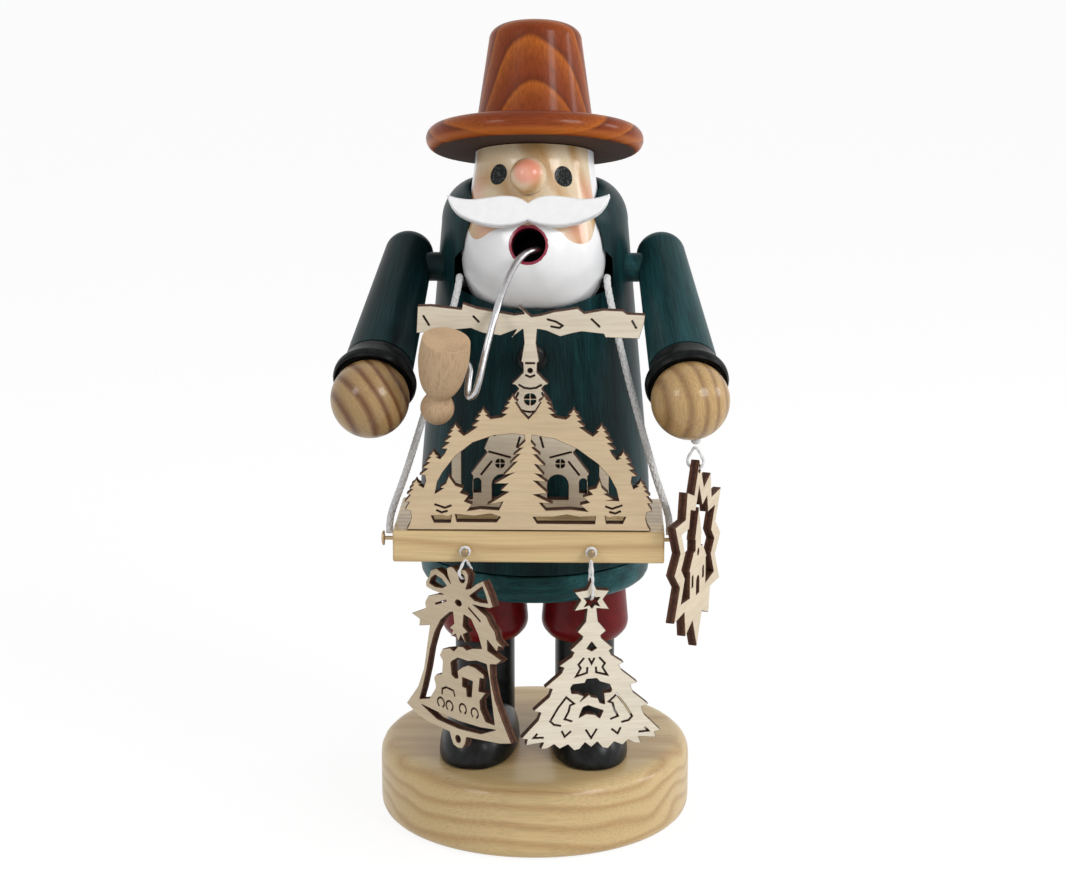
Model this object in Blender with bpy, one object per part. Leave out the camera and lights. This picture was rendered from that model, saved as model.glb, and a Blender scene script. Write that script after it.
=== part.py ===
"""A turned wooden smoker figure: a bearded pedlar who carries a tray of cut-out ornaments.

Units are metres, +Z is up and the figure looks along -Y. The origin is the centre of the
base's underside. The lower half (base, legs, hem disc, incense dish) stays on the table, and
the upper half lifts off it so that an incense cone can be stood on the dish.
"""
import math

import bmesh
import bpy
from mathutils import Matrix, Vector
from mathutils.geometry import tessellate_polygon

MM = 0.001
DEG = math.radians(1.0)

# Fit between pieces that touch
FIT = 0.3 * MM

# Facets round a turned piece
FACETS_LARGE = 32
FACETS_MEDIUM = 22
FACETS_SMALL = 14
FACETS_PIN = 8
SMOOTH_BELOW = 40.0 * DEG
DRILL_PHASE = 5.3 * DEG

# Base
BASE_RADIUS = 43.5 * MM
BASE_HEIGHT = 20.8 * MM
BASE_EDGE_ROUND = 3.8 * MM

# Legs
LEG_SPACING = 28.0 * MM
LEG_DOWEL_RADIUS = 3.0 * MM
LEG_DOWEL_IN_BASE = 10.0 * MM
LEG_DOWEL_IN_HEM = 5.4 * MM
SHOE_WIDTH = 21.2 * MM
SHOE_LENGTH = 40.5 * MM
SHOE_HEIGHT = 12.5 * MM
SHOE_HEEL_BEHIND_LEG = 10.0 * MM
SHOE_TOE_OUT = 6.0 * DEG
SHOE_SOCKET_FLOOR = 4.0 * MM
SHOE_SOLE_INSET = 0.9 * MM
SHOE_SQUARENESS = 2.4
SHOE_LEVELS = (0.0, 0.22, 0.45, 0.66, 0.82, 0.93)
BOOT_RADIUS = 8.3 * MM
BOOT_HEIGHT = 27.4 * MM
TROUSER_SOCKET_DEPTH = 2.6 * MM
TROUSER_HEIGHT = 17.0 * MM
TROUSER_RADIUS = 12.3 * MM
TROUSER_TOP_RADIUS = 11.0 * MM
TROUSER_MOUTH_RADIUS = 9.7 * MM
TROUSER_SWELL = 3.1 * MM

# Hem disc that closes the coat from below
HEM_RADIUS = 31.7 * MM
HEM_THICKNESS = 8.2 * MM
HEM_EDGE_ROUND = 4.0 * MM
SPIGOT_HEIGHT = 6.0 * MM
SPIGOT_EASE = 0.4 * MM
AIR_HOLE_RADIUS = 2.3 * MM
AIR_HOLE_OFFSET = 15.8 * MM

# Incense dish and its nail
DISH_RADIUS = 12.0 * MM
DISH_RIM = 2.6 * MM
DISH_WALL = 0.6 * MM
DISH_BEND_IN_WALLS = 1.6
DISH_BEND_EASE = 0.3
DISH_NAIL_RADIUS = 0.7 * MM
DISH_NAIL_HEAD_RADIUS = 2.2 * MM
DISH_NAIL_HEAD = 0.9 * MM
DISH_NAIL_LENGTH = 7.0 * MM

# Coat
COAT_HEIGHT = 102.2 * MM
COAT_RADIUS = 31.6 * MM
COAT_SHOULDER_RADIUS = 25.1 * MM
COAT_STRAIGHT = 18.7 * MM
SHOULDER_DROP = 11.5 * MM
COAT_CROWN_RADIUS = 15.0 * MM
CHAMBER_RADIUS = 20.0 * MM
CHAMBER_HEIGHT = 55.0 * MM
CHAMBER_CORNER = 2.0 * MM
SMOKE_CHANNEL_RADIUS = 4.5 * MM
SMOKE_CHANNEL_FORWARD = 13.5 * MM
BUTTON_RADIUS = 3.85 * MM
BUTTON_THICKNESS = 1.7 * MM
BUTTON_ABOVE_HEM = 58.5 * MM
PEG_RADIUS = 1.3 * MM
PEG_LENGTH = 3.2 * MM

# Head, in a frame that hangs down from just above its flat top
HEAD_TOP_ABOVE_COAT = 8.6 * MM
HEAD_FORWARD = 3.5 * MM
HEAD_TILT = 16.0 * DEG
HEAD_TURN = 3.0 * DEG
HEAD_LENGTH = 44.3 * MM
HEAD_FLAT_DROP = 1.5 * MM
FOREHEAD_RADIUS = 15.7 * MM
BEARD_RADIUS = 19.2 * MM
BEARD_WIDEST = 28.0 * MM
CHIN_RADIUS = 8.2 * MM
NECK_RADIUS = 8.0 * MM
NECK_LENGTH = 5.0 * MM
NECK_BORE_RADIUS = 4.4 * MM
MOUTH_RADIUS = 4.5 * MM
MOUTH_DROP = 28.4 * MM
MOUTH_DEPTH = 24.0 * MM
POCKET_RADIUS = 21.2 * MM
POCKET_EASE = 0.5 * MM
POCKET_CHIN_EASE = 3.8 * MM
POCKET_BOWL_HEIGHT = 7.2 * MM
NOSE_RADIUS = 4.75 * MM
NOSE_PROUD = 2.6 * MM
NOSE_DROP = 11.0 * MM
MOUSTACHE_WIDTH = 42.2 * MM
MOUSTACHE_THICKNESS = 3.0 * MM
MOUSTACHE_DROP = 20.0 * MM

# Hat
BRIM_RADIUS = 29.0 * MM
BRIM_THICKNESS = 6.6 * MM
BRIM_WAIST = 5.6 * MM
CROWN_HEIGHT = 28.4 * MM
CROWN_BASE_RADIUS = 15.8 * MM
CROWN_TOP_RADIUS = 12.4 * MM
CROWN_ROUND = 4.2 * MM
CROWN_ROUND_WIDTH = 5.6 * MM
HAT_DOWEL_RADIUS = 4.0 * MM
HAT_DOWEL_IN_HEAD = 8.0 * MM
HAT_DOWEL_IN_CROWN = 8.0 * MM

# Arms
SHOULDER_OUT = 34.0 * MM
SHOULDER_FORWARD = 2.0 * MM
SHOULDER_BELOW_CROWN = 20.5 * MM
ARM_LENGTH = 56.8 * MM
ARM_DROOP = 31.4 * DEG
HAND_PAST_TRAY = 6.53 * MM
HAND_BEYOND_SLEEVE = 12.6 * MM
SLEEVE_TOP_RADIUS = 6.6 * MM
SLEEVE_ROUND = 5.0 * MM
SLEEVE_ROUND_WIDTH = 4.3 * MM
SLEEVE_END_RADIUS = 8.9 * MM
CUFF_RADIUS = 10.85 * MM
CUFF_LENGTH = 7.4 * MM
CUFF_BAND = 2.4 * MM
CUFF_LIP = 1.0 * MM
CUFF_FLARE_EASE = 0.35
HAND_RADIUS = 10.1 * MM
ARM_DOWEL_RADIUS = 3.9 * MM
ARM_DOWEL_ALONG = 5.0 * MM
ARM_DOWEL_IN_COAT = 3.4 * MM
ARM_DOWEL_IN_SLEEVE = 3.0 * MM

# Tray
TRAY_WIDTH = 68.2 * MM
TRAY_DEPTH = 33.6 * MM
TRAY_THICKNESS = 8.1 * MM
TRAY_ABOVE_HEM = 14.0 * MM
TRAY_EDGE = 0.7 * MM
TRAY_DOWEL_RADIUS = 2.0 * MM
TRAY_DOWEL_SPACING = 16.0 * MM
TRAY_DOWEL_LENGTH = 14.0 * MM
TRAY_DOWEL_IN_COAT = 6.0 * MM
PLY = 3.0 * MM
ARCH_INSET = 3.3 * MM
ARCH_SETBACK = 0.4 * MM
WINGS_WIDTH = 58.0 * MM
BACK_PLATE_SETBACK = 17.0 * MM

# Cord and nails
CORD_RADIUS = 0.95 * MM
NAIL_RADIUS = 0.5 * MM
NAIL_HEAD_RADIUS = 1.9 * MM
NAIL_HEAD = 0.7 * MM
NAIL_DEPTH = 6.0 * MM
NAIL_POINT_SHARE = 0.5
NAIL_CROWN_SHARE = 0.7
CORD_NAIL_FROM_FRONT = 9.3 * MM
CORD_NAIL_BELOW_TOP = 4.4 * MM

# Pipe
WIRE_RADIUS = 0.9 * MM
BOWL_LENGTH = 24.4 * MM
BOWL_RADIUS = 6.4 * MM
BOWL_TOP_RADIUS = 6.05 * MM
BOWL_NECK_RADIUS = 3.1 * MM
BOWL_BALL_RADIUS = 4.3 * MM
BOWL_NECK_HEIGHT = 8.4 * MM
BOWL_TOP_FROM_HEAD = Vector((-20.4, -58.5, -40.8)) * MM
BOWL_AXIS = Vector((0.139, -0.33, 0.934)).normalized()
BOWL_SWELL = ((0.12, 0.72), (0.30, 0.88), (0.60, 1.0), (0.85, 0.985))

# Hanging ornaments
ORNAMENT_PLY = 2.3 * MM
STRING_RADIUS = 0.4 * MM
STRING_NAIL_SPACING = 31.6 * MM
STRING_NAIL_BELOW_TOP = 4.8 * MM
STRING_NAIL_HEAD_RADIUS = 1.0 * MM
KNOT_RADIUS = 2.0 * MM
KNOT_EYE_RADIUS = 0.85 * MM
KNOT_THICKNESS = 1.5 * MM
HAND_KNOT_RADIUS = 1.3 * MM
STAR_OUTWARD = 1.5 * MM
EYE_RADIUS = 1.1 * MM
EYE_LAND = 1.2 * MM
LOOP_HALF_WIDTH = 2.1 * MM
LOOP_NECK = 0.55 * MM
LOOP_FLARE = 1.5 * MM
TREE_WIDTH = 36.2 * MM
TREE_DROP = 12.0 * MM
BELL_WIDTH = 40.0 * MM
BELL_DROP = 6.9 * MM
STAR_DROP = 7.6 * MM
TREE_TWIST = 12.0 * DEG
BELL_TWIST = 45.0 * DEG
STAR_TWIST = 72.0 * DEG
BELL_EYE_ASIDE = 1.6 * MM
STAR_LONG_RADIUS = 24.8 * MM
STAR_SHORT_RADIUS = 21.8 * MM
STAR_NOTCH_RADIUS = 17.2 * MM
STAR_FIELD_RADIUS = 13.4 * MM
STAR_POINTS = 12

# Heights that follow from the sizes above
SHOE_SEAT_Z = BASE_HEIGHT + FIT
BOOT_SEAT_Z = SHOE_SEAT_Z + SHOE_SOCKET_FLOOR + FIT
BOOT_TOP_Z = BOOT_SEAT_Z + BOOT_HEIGHT
TROUSER_Z = BOOT_TOP_Z + FIT - TROUSER_SOCKET_DEPTH
HEM_Z = TROUSER_Z + TROUSER_HEIGHT + FIT
HEM_TOP_Z = HEM_Z + HEM_THICKNESS
COAT_Z = HEM_TOP_Z + FIT
COAT_TOP_Z = COAT_Z + COAT_HEIGHT
DISH_Z = HEM_TOP_Z + SPIGOT_HEIGHT + FIT
HEAD_TOP = Vector((0.0, -HEAD_FORWARD, COAT_TOP_Z + HEAD_TOP_ABOVE_COAT))
TRAY_Z = HEM_TOP_Z + TRAY_ABOVE_HEM
TRAY_TOP_Z = TRAY_Z + TRAY_THICKNESS
TRAY_BACK_Y = -(COAT_RADIUS + FIT)
TRAY_FRONT_Y = TRAY_BACK_Y - TRAY_DEPTH
ARCH_WIDTH = TRAY_WIDTH - 2.0 * ARCH_INSET
SLEEVE_LENGTH = ARM_LENGTH - HAND_BEYOND_SLEEVE
ARM_SPREAD = math.asin((TRAY_WIDTH / 2.0 + HAND_PAST_TRAY - SHOULDER_OUT) / ARM_LENGTH)


def clear_scene():
    for item in list(bpy.data.objects):
        bpy.data.objects.remove(item, do_unlink=True)


def material(name, colour, roughness, metallic=0.0):
    mat = bpy.data.materials.new(name)
    mat.use_nodes = True
    shader = mat.node_tree.nodes["Principled BSDF"]
    shader.inputs["Base Color"].default_value = (*colour, 1.0)
    shader.inputs["Roughness"].default_value = roughness
    shader.inputs["Metallic"].default_value = metallic
    return mat


def finishes():
    return {
        "pine": material("varnished_pine", (0.72, 0.50, 0.26), 0.30),
        "skin": material("varnished_skin", (0.80, 0.58, 0.36), 0.28),
        "ply": material("birch_plywood", (0.78, 0.64, 0.46), 0.60),
        "raw": material("raw_beech", (0.74, 0.54, 0.36), 0.55),
        "green": material("green_stain", (0.02, 0.08, 0.09), 0.30),
        "black": material("black_lacquer", (0.012, 0.012, 0.014), 0.35),
        "red": material("red_lacquer", (0.32, 0.01, 0.02), 0.40),
        "brown": material("brown_stain", (0.28, 0.07, 0.02), 0.18),
        "white": material("white_lacquer", (0.86, 0.86, 0.86), 0.25),
        "cord": material("white_cord", (0.82, 0.81, 0.80), 0.80),
        "wire": material("aluminium_wire", (0.62, 0.63, 0.65), 0.30, 1.0),
        "brass": material("brass_dish", (0.72, 0.52, 0.22), 0.30, 1.0),
        "steel": material("bright_nail", (0.66, 0.66, 0.62), 0.30, 1.0),
    }


def empty(name, location, rotation=(0.0, 0.0, 0.0), parent=None):
    frame = bpy.data.objects.new(name, None)
    frame.location = location
    frame.rotation_euler = rotation
    frame.parent = parent
    bpy.context.collection.objects.link(frame)
    return frame


def place(name, mesh, mat, parent=None, location=(0.0, 0.0, 0.0), rotation=(0.0, 0.0, 0.0)):
    item = bpy.data.objects.new(name, mesh)
    bpy.context.collection.objects.link(item)
    item.parent = parent
    item.location = location
    item.rotation_euler = rotation
    if mat is not None:
        mesh.materials.append(mat)
    return item


def mesh_from(name, verts, faces):
    mesh = bpy.data.meshes.new(name)
    mesh.from_pydata(verts, [], faces)
    mesh.validate()
    mesh.shade_smooth()
    mesh.set_sharp_from_angle(angle=SMOOTH_BELOW)
    return mesh


def arc(centre_r, centre_z, radius, start, end, steps):
    """Points on a circle of the profile plane, from the angle start to the angle end."""
    points = []
    for i in range(steps + 1):
        angle = start + (end - start) * i / steps
        points.append((centre_r + radius * math.cos(angle), centre_z + radius * math.sin(angle)))
    return points


def turned_mesh(name, profile, facets, closed=False, phase=0.0):
    """Surface of revolution about Z. The profile runs up its outer side, from axis to axis,
    or round a closed ring. The phase turns the facets."""
    verts = []
    rings = []
    for radius, height in profile:
        if radius <= 0.0:
            rings.append([len(verts)])
            verts.append((0.0, 0.0, height))
            continue
        rings.append([len(verts) + j for j in range(facets)])
        for j in range(facets):
            angle = 2.0 * math.pi * j / facets + phase
            verts.append((radius * math.cos(angle), radius * math.sin(angle), height))
    pairs = list(zip(rings, rings[1:]))
    if closed:
        pairs.append((rings[-1], rings[0]))
    faces = []
    for low, high in pairs:
        for j in range(facets):
            k = (j + 1) % facets
            if len(low) == 1:
                faces.append((low[0], high[k], high[j]))
            elif len(high) == 1:
                faces.append((low[j], low[k], high[0]))
            else:
                faces.append((low[j], low[k], high[k], high[j]))
    return mesh_from(name, verts, faces)


def plate_mesh(name, outline, holes, thickness):
    """Flat piece in the XZ plane with its holes, centred on Y."""
    loops = [list(outline)] + [list(hole) for hole in holes]
    flat = [point for loop in loops for point in loop]
    half = thickness / 2.0
    count = len(flat)
    verts = [(x, -half, z) for x, z in flat] + [(x, half, z) for x, z in flat]
    faces = []
    for a, b, c in tessellate_polygon([[Vector((x, z, 0.0)) for x, z in loop] for loop in loops]):
        faces.append((a, b, c))
        faces.append((c + count, b + count, a + count))
    start = 0
    for loop in loops:
        size = len(loop)
        for i in range(size):
            j = (i + 1) % size
            faces.append((start + i, start + j, start + j + count, start + i + count))
        start += size
    mesh = bpy.data.meshes.new(name)
    mesh.from_pydata(verts, [], faces)
    work = bmesh.new()
    work.from_mesh(mesh)
    bmesh.ops.recalc_face_normals(work, faces=work.faces)
    work.to_mesh(mesh)
    work.free()
    return mesh


def cutter(name, mesh, parent=None, location=(0.0, 0.0, 0.0), rotation=(0.0, 0.0, 0.0)):
    item = place(name, mesh, None, parent, location, rotation)
    item.hide_render = True
    item.display_type = "WIRE"
    return item


def cut(target, tool):
    change = target.modifiers.new("cut_" + tool.name, "BOOLEAN")
    change.operation = "DIFFERENCE"
    change.solver = "EXACT"
    change.object = tool


def pin_mesh(name, radius, start, end, facets=FACETS_PIN, phase=0.0):
    """Round pin along Z from one height to another."""
    profile = [(0.0, start), (radius, start), (radius, end), (0.0, end)]
    return turned_mesh(name, profile, facets, phase=phase)


def drill(target, name, radius, start, end, parent=None, facets=FACETS_SMALL):
    """Round hole from one point to another, in the frame of the parent. Its facets are turned
    so that none of its edges meets an edge of the piece."""
    start = Vector(start)
    end = Vector(end)
    along = end - start
    turn = Vector((0.0, 0.0, 1.0)).rotation_difference(along).to_euler()
    mesh = pin_mesh(name, radius, 0.0, along.length, facets, DRILL_PHASE)
    cut(target, cutter(name, mesh, parent, start, turn))


def nail_mesh(name, shank, head, head_height, length):
    """Nail along Z with its head's underside at height zero and its point down."""
    profile = [(0.0, -length), (shank * NAIL_POINT_SHARE, -length + shank), (shank, -length + 2.0 * shank),
               (shank, 0.0), (head, 0.0), (head, head_height * NAIL_POINT_SHARE),
               (head * NAIL_CROWN_SHARE, head_height), (0.0, head_height)]
    return turned_mesh(name, profile, FACETS_PIN)


def base(mats):
    low = arc(BASE_RADIUS - BASE_EDGE_ROUND, BASE_EDGE_ROUND, BASE_EDGE_ROUND,
              -90.0 * DEG, 0.0, 3)
    high = arc(BASE_RADIUS - BASE_EDGE_ROUND, BASE_HEIGHT - BASE_EDGE_ROUND, BASE_EDGE_ROUND,
               0.0, 90.0 * DEG, 3)
    mesh = turned_mesh("base_disc", [(0.0, 0.0)] + low + high + [(0.0, BASE_HEIGHT)],
                       FACETS_LARGE)
    disc = place("base_disc", mesh, mats["pine"])
    for side, x in sides(LEG_SPACING / 2.0):
        drill(disc, side + "_base_hole", LEG_DOWEL_RADIUS + FIT,
              (x, 0.0, BASE_HEIGHT - LEG_DOWEL_IN_BASE - FIT), (x, 0.0, BASE_HEIGHT + FIT))


def sides(offset):
    """The figure's own right is at -X and its left at +X."""
    return (("right", -offset), ("left", offset))


def signed_power(value, power):
    return math.copysign(abs(value) ** power, value)


def shoe_mesh(name):
    """Rounded block: each level is a superellipse that shrinks towards the top and the sole."""
    power = SHOE_SQUARENESS
    verts = []
    for share in SHOE_LEVELS:
        scale = (1.0 - share ** power) ** (1.0 / power)
        inset = SHOE_SOLE_INSET if share == 0.0 else 0.0
        for j in range(FACETS_MEDIUM):
            angle = 2.0 * math.pi * j / FACETS_MEDIUM
            x = (SHOE_WIDTH / 2.0 * scale - inset) * signed_power(math.cos(angle), 2.0 / power)
            y = (SHOE_LENGTH / 2.0 * scale - inset) * signed_power(math.sin(angle), 2.0 / power)
            verts.append((x, y + SHOE_HEEL_BEHIND_LEG - SHOE_LENGTH / 2.0, SHOE_HEIGHT * share))
    faces = [tuple(reversed(range(FACETS_MEDIUM)))]
    for i in range(len(SHOE_LEVELS) - 1):
        low = i * FACETS_MEDIUM
        high = low + FACETS_MEDIUM
        for j in range(FACETS_MEDIUM):
            k = (j + 1) % FACETS_MEDIUM
            faces.append((low + j, low + k, high + k, high + j))
    faces.append(tuple(range(high, high + FACETS_MEDIUM)))
    return mesh_from(name, verts, faces)


def leg(side, x, mats):
    outward = math.copysign(SHOE_TOE_OUT, x)
    seat = (x, 0.0, SHOE_SEAT_Z)
    shoe = place(side + "_shoe", shoe_mesh(side + "_shoe"), mats["black"],
                 location=seat, rotation=(0.0, 0.0, outward))
    drill(shoe, side + "_shoe_socket", BOOT_RADIUS + FIT, (x, 0.0, BOOT_SEAT_Z - FIT),
          (x, 0.0, BOOT_TOP_Z), facets=FACETS_MEDIUM)
    drill(shoe, side + "_shoe_hole", LEG_DOWEL_RADIUS + FIT, (x, 0.0, BASE_HEIGHT - FIT),
          (x, 0.0, BOOT_SEAT_Z))
    bore = LEG_DOWEL_RADIUS + FIT
    shaft = [(bore, 0.0), (BOOT_RADIUS, 0.0), (BOOT_RADIUS, BOOT_HEIGHT), (bore, BOOT_HEIGHT)]
    place(side + "_boot_shaft", turned_mesh(side + "_boot_shaft", shaft, FACETS_MEDIUM, True),
          mats["black"], location=(x, 0.0, BOOT_SEAT_Z))
    socket = BOOT_RADIUS + FIT
    bell = [(socket, 0.0), (TROUSER_MOUTH_RADIUS, 0.0)]
    lip = TROUSER_RADIUS - TROUSER_MOUTH_RADIUS
    bell += [(TROUSER_RADIUS - lip * (1.0 - t) ** 2, TROUSER_SWELL * t) for t in (0.25, 0.6, 1.0)]
    for t in (0.5, 1.0):
        radius = TROUSER_RADIUS + (TROUSER_TOP_RADIUS - TROUSER_RADIUS) * t ** 1.5
        bell.append((radius, TROUSER_SWELL + (TROUSER_HEIGHT - TROUSER_SWELL) * t))
    bell += [(bore, TROUSER_HEIGHT), (bore, TROUSER_SOCKET_DEPTH), (socket, TROUSER_SOCKET_DEPTH)]
    place(side + "_trouser_bell",
          turned_mesh(side + "_trouser_bell", bell, FACETS_MEDIUM, True),
          mats["red"], location=(x, 0.0, TROUSER_Z))
    dowel = pin_mesh(side + "_leg_dowel", LEG_DOWEL_RADIUS, BASE_HEIGHT - LEG_DOWEL_IN_BASE,
                     HEM_Z + LEG_DOWEL_IN_HEM, FACETS_SMALL)
    place(side + "_leg_dowel", dowel, mats["raw"], location=(x, 0.0, 0.0))


def hem(mats):
    spigot = CHAMBER_RADIUS - SPIGOT_EASE
    edge = arc(HEM_RADIUS - HEM_EDGE_ROUND, HEM_EDGE_ROUND, HEM_EDGE_ROUND,
               -90.0 * DEG, 0.0, 3)
    profile = [(0.0, 0.0)] + edge
    top = HEM_THICKNESS + SPIGOT_HEIGHT
    hole = DISH_NAIL_RADIUS + FIT
    hole_end = top - DISH_NAIL_LENGTH
    profile += [(HEM_RADIUS, HEM_THICKNESS), (spigot, HEM_THICKNESS), (spigot, top),
                (hole, top), (hole, hole_end), (0.0, hole_end)]
    disc = place("hem_disc", turned_mesh("hem_disc", profile, FACETS_LARGE), mats["green"],
                 location=(0.0, 0.0, HEM_Z))
    for side, x in sides(LEG_SPACING / 2.0):
        drill(disc, side + "_hem_hole", LEG_DOWEL_RADIUS + FIT, (x, 0.0, HEM_Z - FIT),
              (x, 0.0, HEM_Z + LEG_DOWEL_IN_HEM + FIT))
    for end, y in (("front", -AIR_HOLE_OFFSET), ("back", AIR_HOLE_OFFSET)):
        drill(disc, end + "_air_hole", AIR_HOLE_RADIUS, (0.0, y, HEM_Z - FIT), (0.0, y, COAT_TOP_Z))


def dish(mats):
    hole = DISH_NAIL_RADIUS + FIT
    bend = DISH_WALL * DISH_BEND_IN_WALLS
    ease = DISH_WALL * DISH_BEND_EASE
    profile = [(hole, 0.0), (DISH_RADIUS - bend, 0.0), (DISH_RADIUS, bend),
               (DISH_RADIUS, DISH_RIM), (DISH_RADIUS - DISH_WALL, DISH_RIM),
               (DISH_RADIUS - DISH_WALL, bend + ease),
               (DISH_RADIUS - bend - ease, DISH_WALL), (hole, DISH_WALL)]
    place("incense_dish", turned_mesh("incense_dish", profile, FACETS_MEDIUM, True),
          mats["brass"], location=(0.0, 0.0, DISH_Z))
    nail = nail_mesh("incense_dish_nail", DISH_NAIL_RADIUS, DISH_NAIL_HEAD_RADIUS,
                     DISH_NAIL_HEAD, DISH_NAIL_LENGTH)
    place("incense_dish_nail", nail, mats["steel"],
          location=(0.0, 0.0, DISH_Z + DISH_WALL + FIT))


def coat_radius_at(height):
    """Radius of the coat's side at a height above its lower edge."""
    straight = COAT_HEIGHT - SHOULDER_DROP
    if height <= COAT_STRAIGHT:
        return COAT_RADIUS
    share = (height - COAT_STRAIGHT) / (straight - COAT_STRAIGHT)
    return COAT_RADIUS + (COAT_SHOULDER_RADIUS - COAT_RADIUS) * share


def coat_profile():
    straight = COAT_HEIGHT - SHOULDER_DROP
    points = [(0.0, CHAMBER_HEIGHT), (CHAMBER_RADIUS - CHAMBER_CORNER, CHAMBER_HEIGHT),
              (CHAMBER_RADIUS, CHAMBER_HEIGHT - CHAMBER_CORNER), (CHAMBER_RADIUS, 0.0)]
    points += [(COAT_RADIUS, 0.0), (COAT_RADIUS, COAT_STRAIGHT)]
    spread = COAT_SHOULDER_RADIUS - COAT_CROWN_RADIUS
    for x, z in arc(0.0, 0.0, 1.0, 0.0, 90.0 * DEG, 6):
        points.append((COAT_CROWN_RADIUS + spread * x, straight + SHOULDER_DROP * z))
    points.append((0.0, COAT_HEIGHT))
    return points


def head_radius_at(drop):
    """Radius of the head at a distance down its frame."""
    if drop <= BEARD_WIDEST:
        share = drop / BEARD_WIDEST
        bulge = 3.0 * share ** 2 - 2.0 * share ** 3
        return FOREHEAD_RADIUS + (BEARD_RADIUS - FOREHEAD_RADIUS) * bulge
    share = (drop - BEARD_WIDEST) / (HEAD_LENGTH - BEARD_WIDEST)
    fall = 1.0 - math.sqrt(max(0.0, 1.0 - share ** 2.2))
    return BEARD_RADIUS - (BEARD_RADIUS - CHIN_RADIUS) * fall


def head_drops():
    """Heights of the head's rings, close together where its outline bends."""
    upper = [HEAD_FLAT_DROP + (BEARD_WIDEST - HEAD_FLAT_DROP) * i / 5 for i in range(6)]
    lower = [BEARD_WIDEST + (HEAD_LENGTH - BEARD_WIDEST) * math.sin(90.0 * DEG * i / 5)
             for i in range(1, 6)]
    return upper + lower


def coat(mats, head_axis):
    body = place("coat_body", turned_mesh("coat_body", coat_profile(), FACETS_LARGE),
                 mats["green"], location=(0.0, 0.0, COAT_Z))
    floor = HEAD_LENGTH + FIT
    upper = [drop for drop in head_drops() if drop <= BEARD_WIDEST]
    pocket = [(0.0, -floor), (CHIN_RADIUS + POCKET_CHIN_EASE, -floor),
              (POCKET_RADIUS, -floor + POCKET_BOWL_HEIGHT),
              (POCKET_RADIUS, -BEARD_WIDEST - (POCKET_RADIUS - BEARD_RADIUS))]
    for drop in reversed(upper):
        pocket.append((head_radius_at(drop) + POCKET_EASE, -drop))
    pocket.append((0.0, 0.0))
    cut(body, cutter("head_pocket", turned_mesh("head_pocket", pocket, FACETS_LARGE), head_axis))
    drill(body, "neck_socket", NECK_RADIUS + FIT, (0.0, 0.0, -floor - NECK_LENGTH - FIT),
          (0.0, 0.0, -HEAD_LENGTH + FIT), head_axis, FACETS_MEDIUM)
    drill(body, "smoke_channel", SMOKE_CHANNEL_RADIUS,
          (0.0, -SMOKE_CHANNEL_FORWARD, COAT_Z + CHAMBER_HEIGHT - CHAMBER_CORNER),
          (0.0, -SMOKE_CHANNEL_FORWARD, HEAD_TOP.z - HEAD_LENGTH))
    return body


def button(mats, body):
    height = BUTTON_ABOVE_HEM
    radius = coat_radius_at(height)
    lean = math.atan2(COAT_RADIUS - COAT_SHOULDER_RADIUS,
                      COAT_HEIGHT - SHOULDER_DROP - COAT_STRAIGHT)
    frame = empty("button_frame", (0.0, -radius, COAT_Z + height), (90.0 * DEG - lean, 0.0, 0.0))
    place("coat_button", knob_mesh("coat_button", BUTTON_RADIUS, BUTTON_THICKNESS),
          mats["black"], frame)
    drill(body, "button_hole", PEG_RADIUS + FIT, (0.0, 0.0, -PEG_LENGTH - FIT),
          (0.0, 0.0, PEG_LENGTH), frame, FACETS_PIN)


def knob_mesh(name, radius, thickness):
    """Low domed disc on a peg, along Z, its underside just above the surface it sits on."""
    profile = [(0.0, -PEG_LENGTH), (PEG_RADIUS, -PEG_LENGTH), (PEG_RADIUS, FIT)]
    dome = arc(0.0, 0.0, 1.0, 0.0, 90.0 * DEG, 3)
    profile += [(radius * x, FIT + thickness * z) for x, z in dome[:-1]]
    profile.append((0.0, FIT + thickness))
    return turned_mesh(name, profile, FACETS_SMALL)


def head(mats, axis):
    foot = -HEAD_LENGTH - NECK_LENGTH
    dowel_hole = HAT_DOWEL_RADIUS + FIT
    dowel_end = -HEAD_FLAT_DROP - HAT_DOWEL_IN_HEAD - FIT
    profile = [(0.0, -MOUTH_DROP), (NECK_BORE_RADIUS, -MOUTH_DROP),
               (NECK_BORE_RADIUS, foot), (NECK_RADIUS, foot), (NECK_RADIUS, -HEAD_LENGTH)]
    for drop in reversed(head_drops()):
        profile.append((head_radius_at(drop), -drop))
    profile += [(dowel_hole, -HEAD_FLAT_DROP), (dowel_hole, dowel_end), (0.0, dowel_end)]
    item = place("head", turned_mesh("head", profile, FACETS_LARGE), mats["skin"], axis)
    front = -head_radius_at(MOUTH_DROP)
    drill(item, "mouth_bore", MOUTH_RADIUS, (0.0, front - MOUTH_RADIUS, -MOUTH_DROP),
          (0.0, front + MOUTH_DEPTH, -MOUTH_DROP), axis, FACETS_MEDIUM)
    nose_frame = face_frame("nose_frame", NOSE_DROP, axis)
    drill(item, "nose_hole", PEG_RADIUS + FIT, (0.0, 0.0, -PEG_LENGTH - FIT),
          (0.0, 0.0, PEG_LENGTH), nose_frame, FACETS_PIN)
    place("nose", nose_mesh(), mats["skin"], nose_frame)
    moustache_frame = face_frame("moustache_frame", MOUSTACHE_DROP, axis)
    mesh = plate_mesh("moustache", moustache_outline(), [], MOUSTACHE_THICKNESS)
    place("moustache", mesh, mats["white"], moustache_frame,
          (0.0, 0.0, MOUSTACHE_THICKNESS / 2.0 + FIT), (-90.0 * DEG, 0.0, 0.0))


def face_frame(name, drop, axis):
    """Frame on the front of the head with +Z square to its surface."""
    step = 1.0 * MM
    rise = head_radius_at(drop + step) - head_radius_at(drop - step)
    slope = math.atan2(rise, 2.0 * step)
    return empty(name, (0.0, -head_radius_at(drop), -drop), (90.0 * DEG - slope, 0.0, 0.0), axis)


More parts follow.
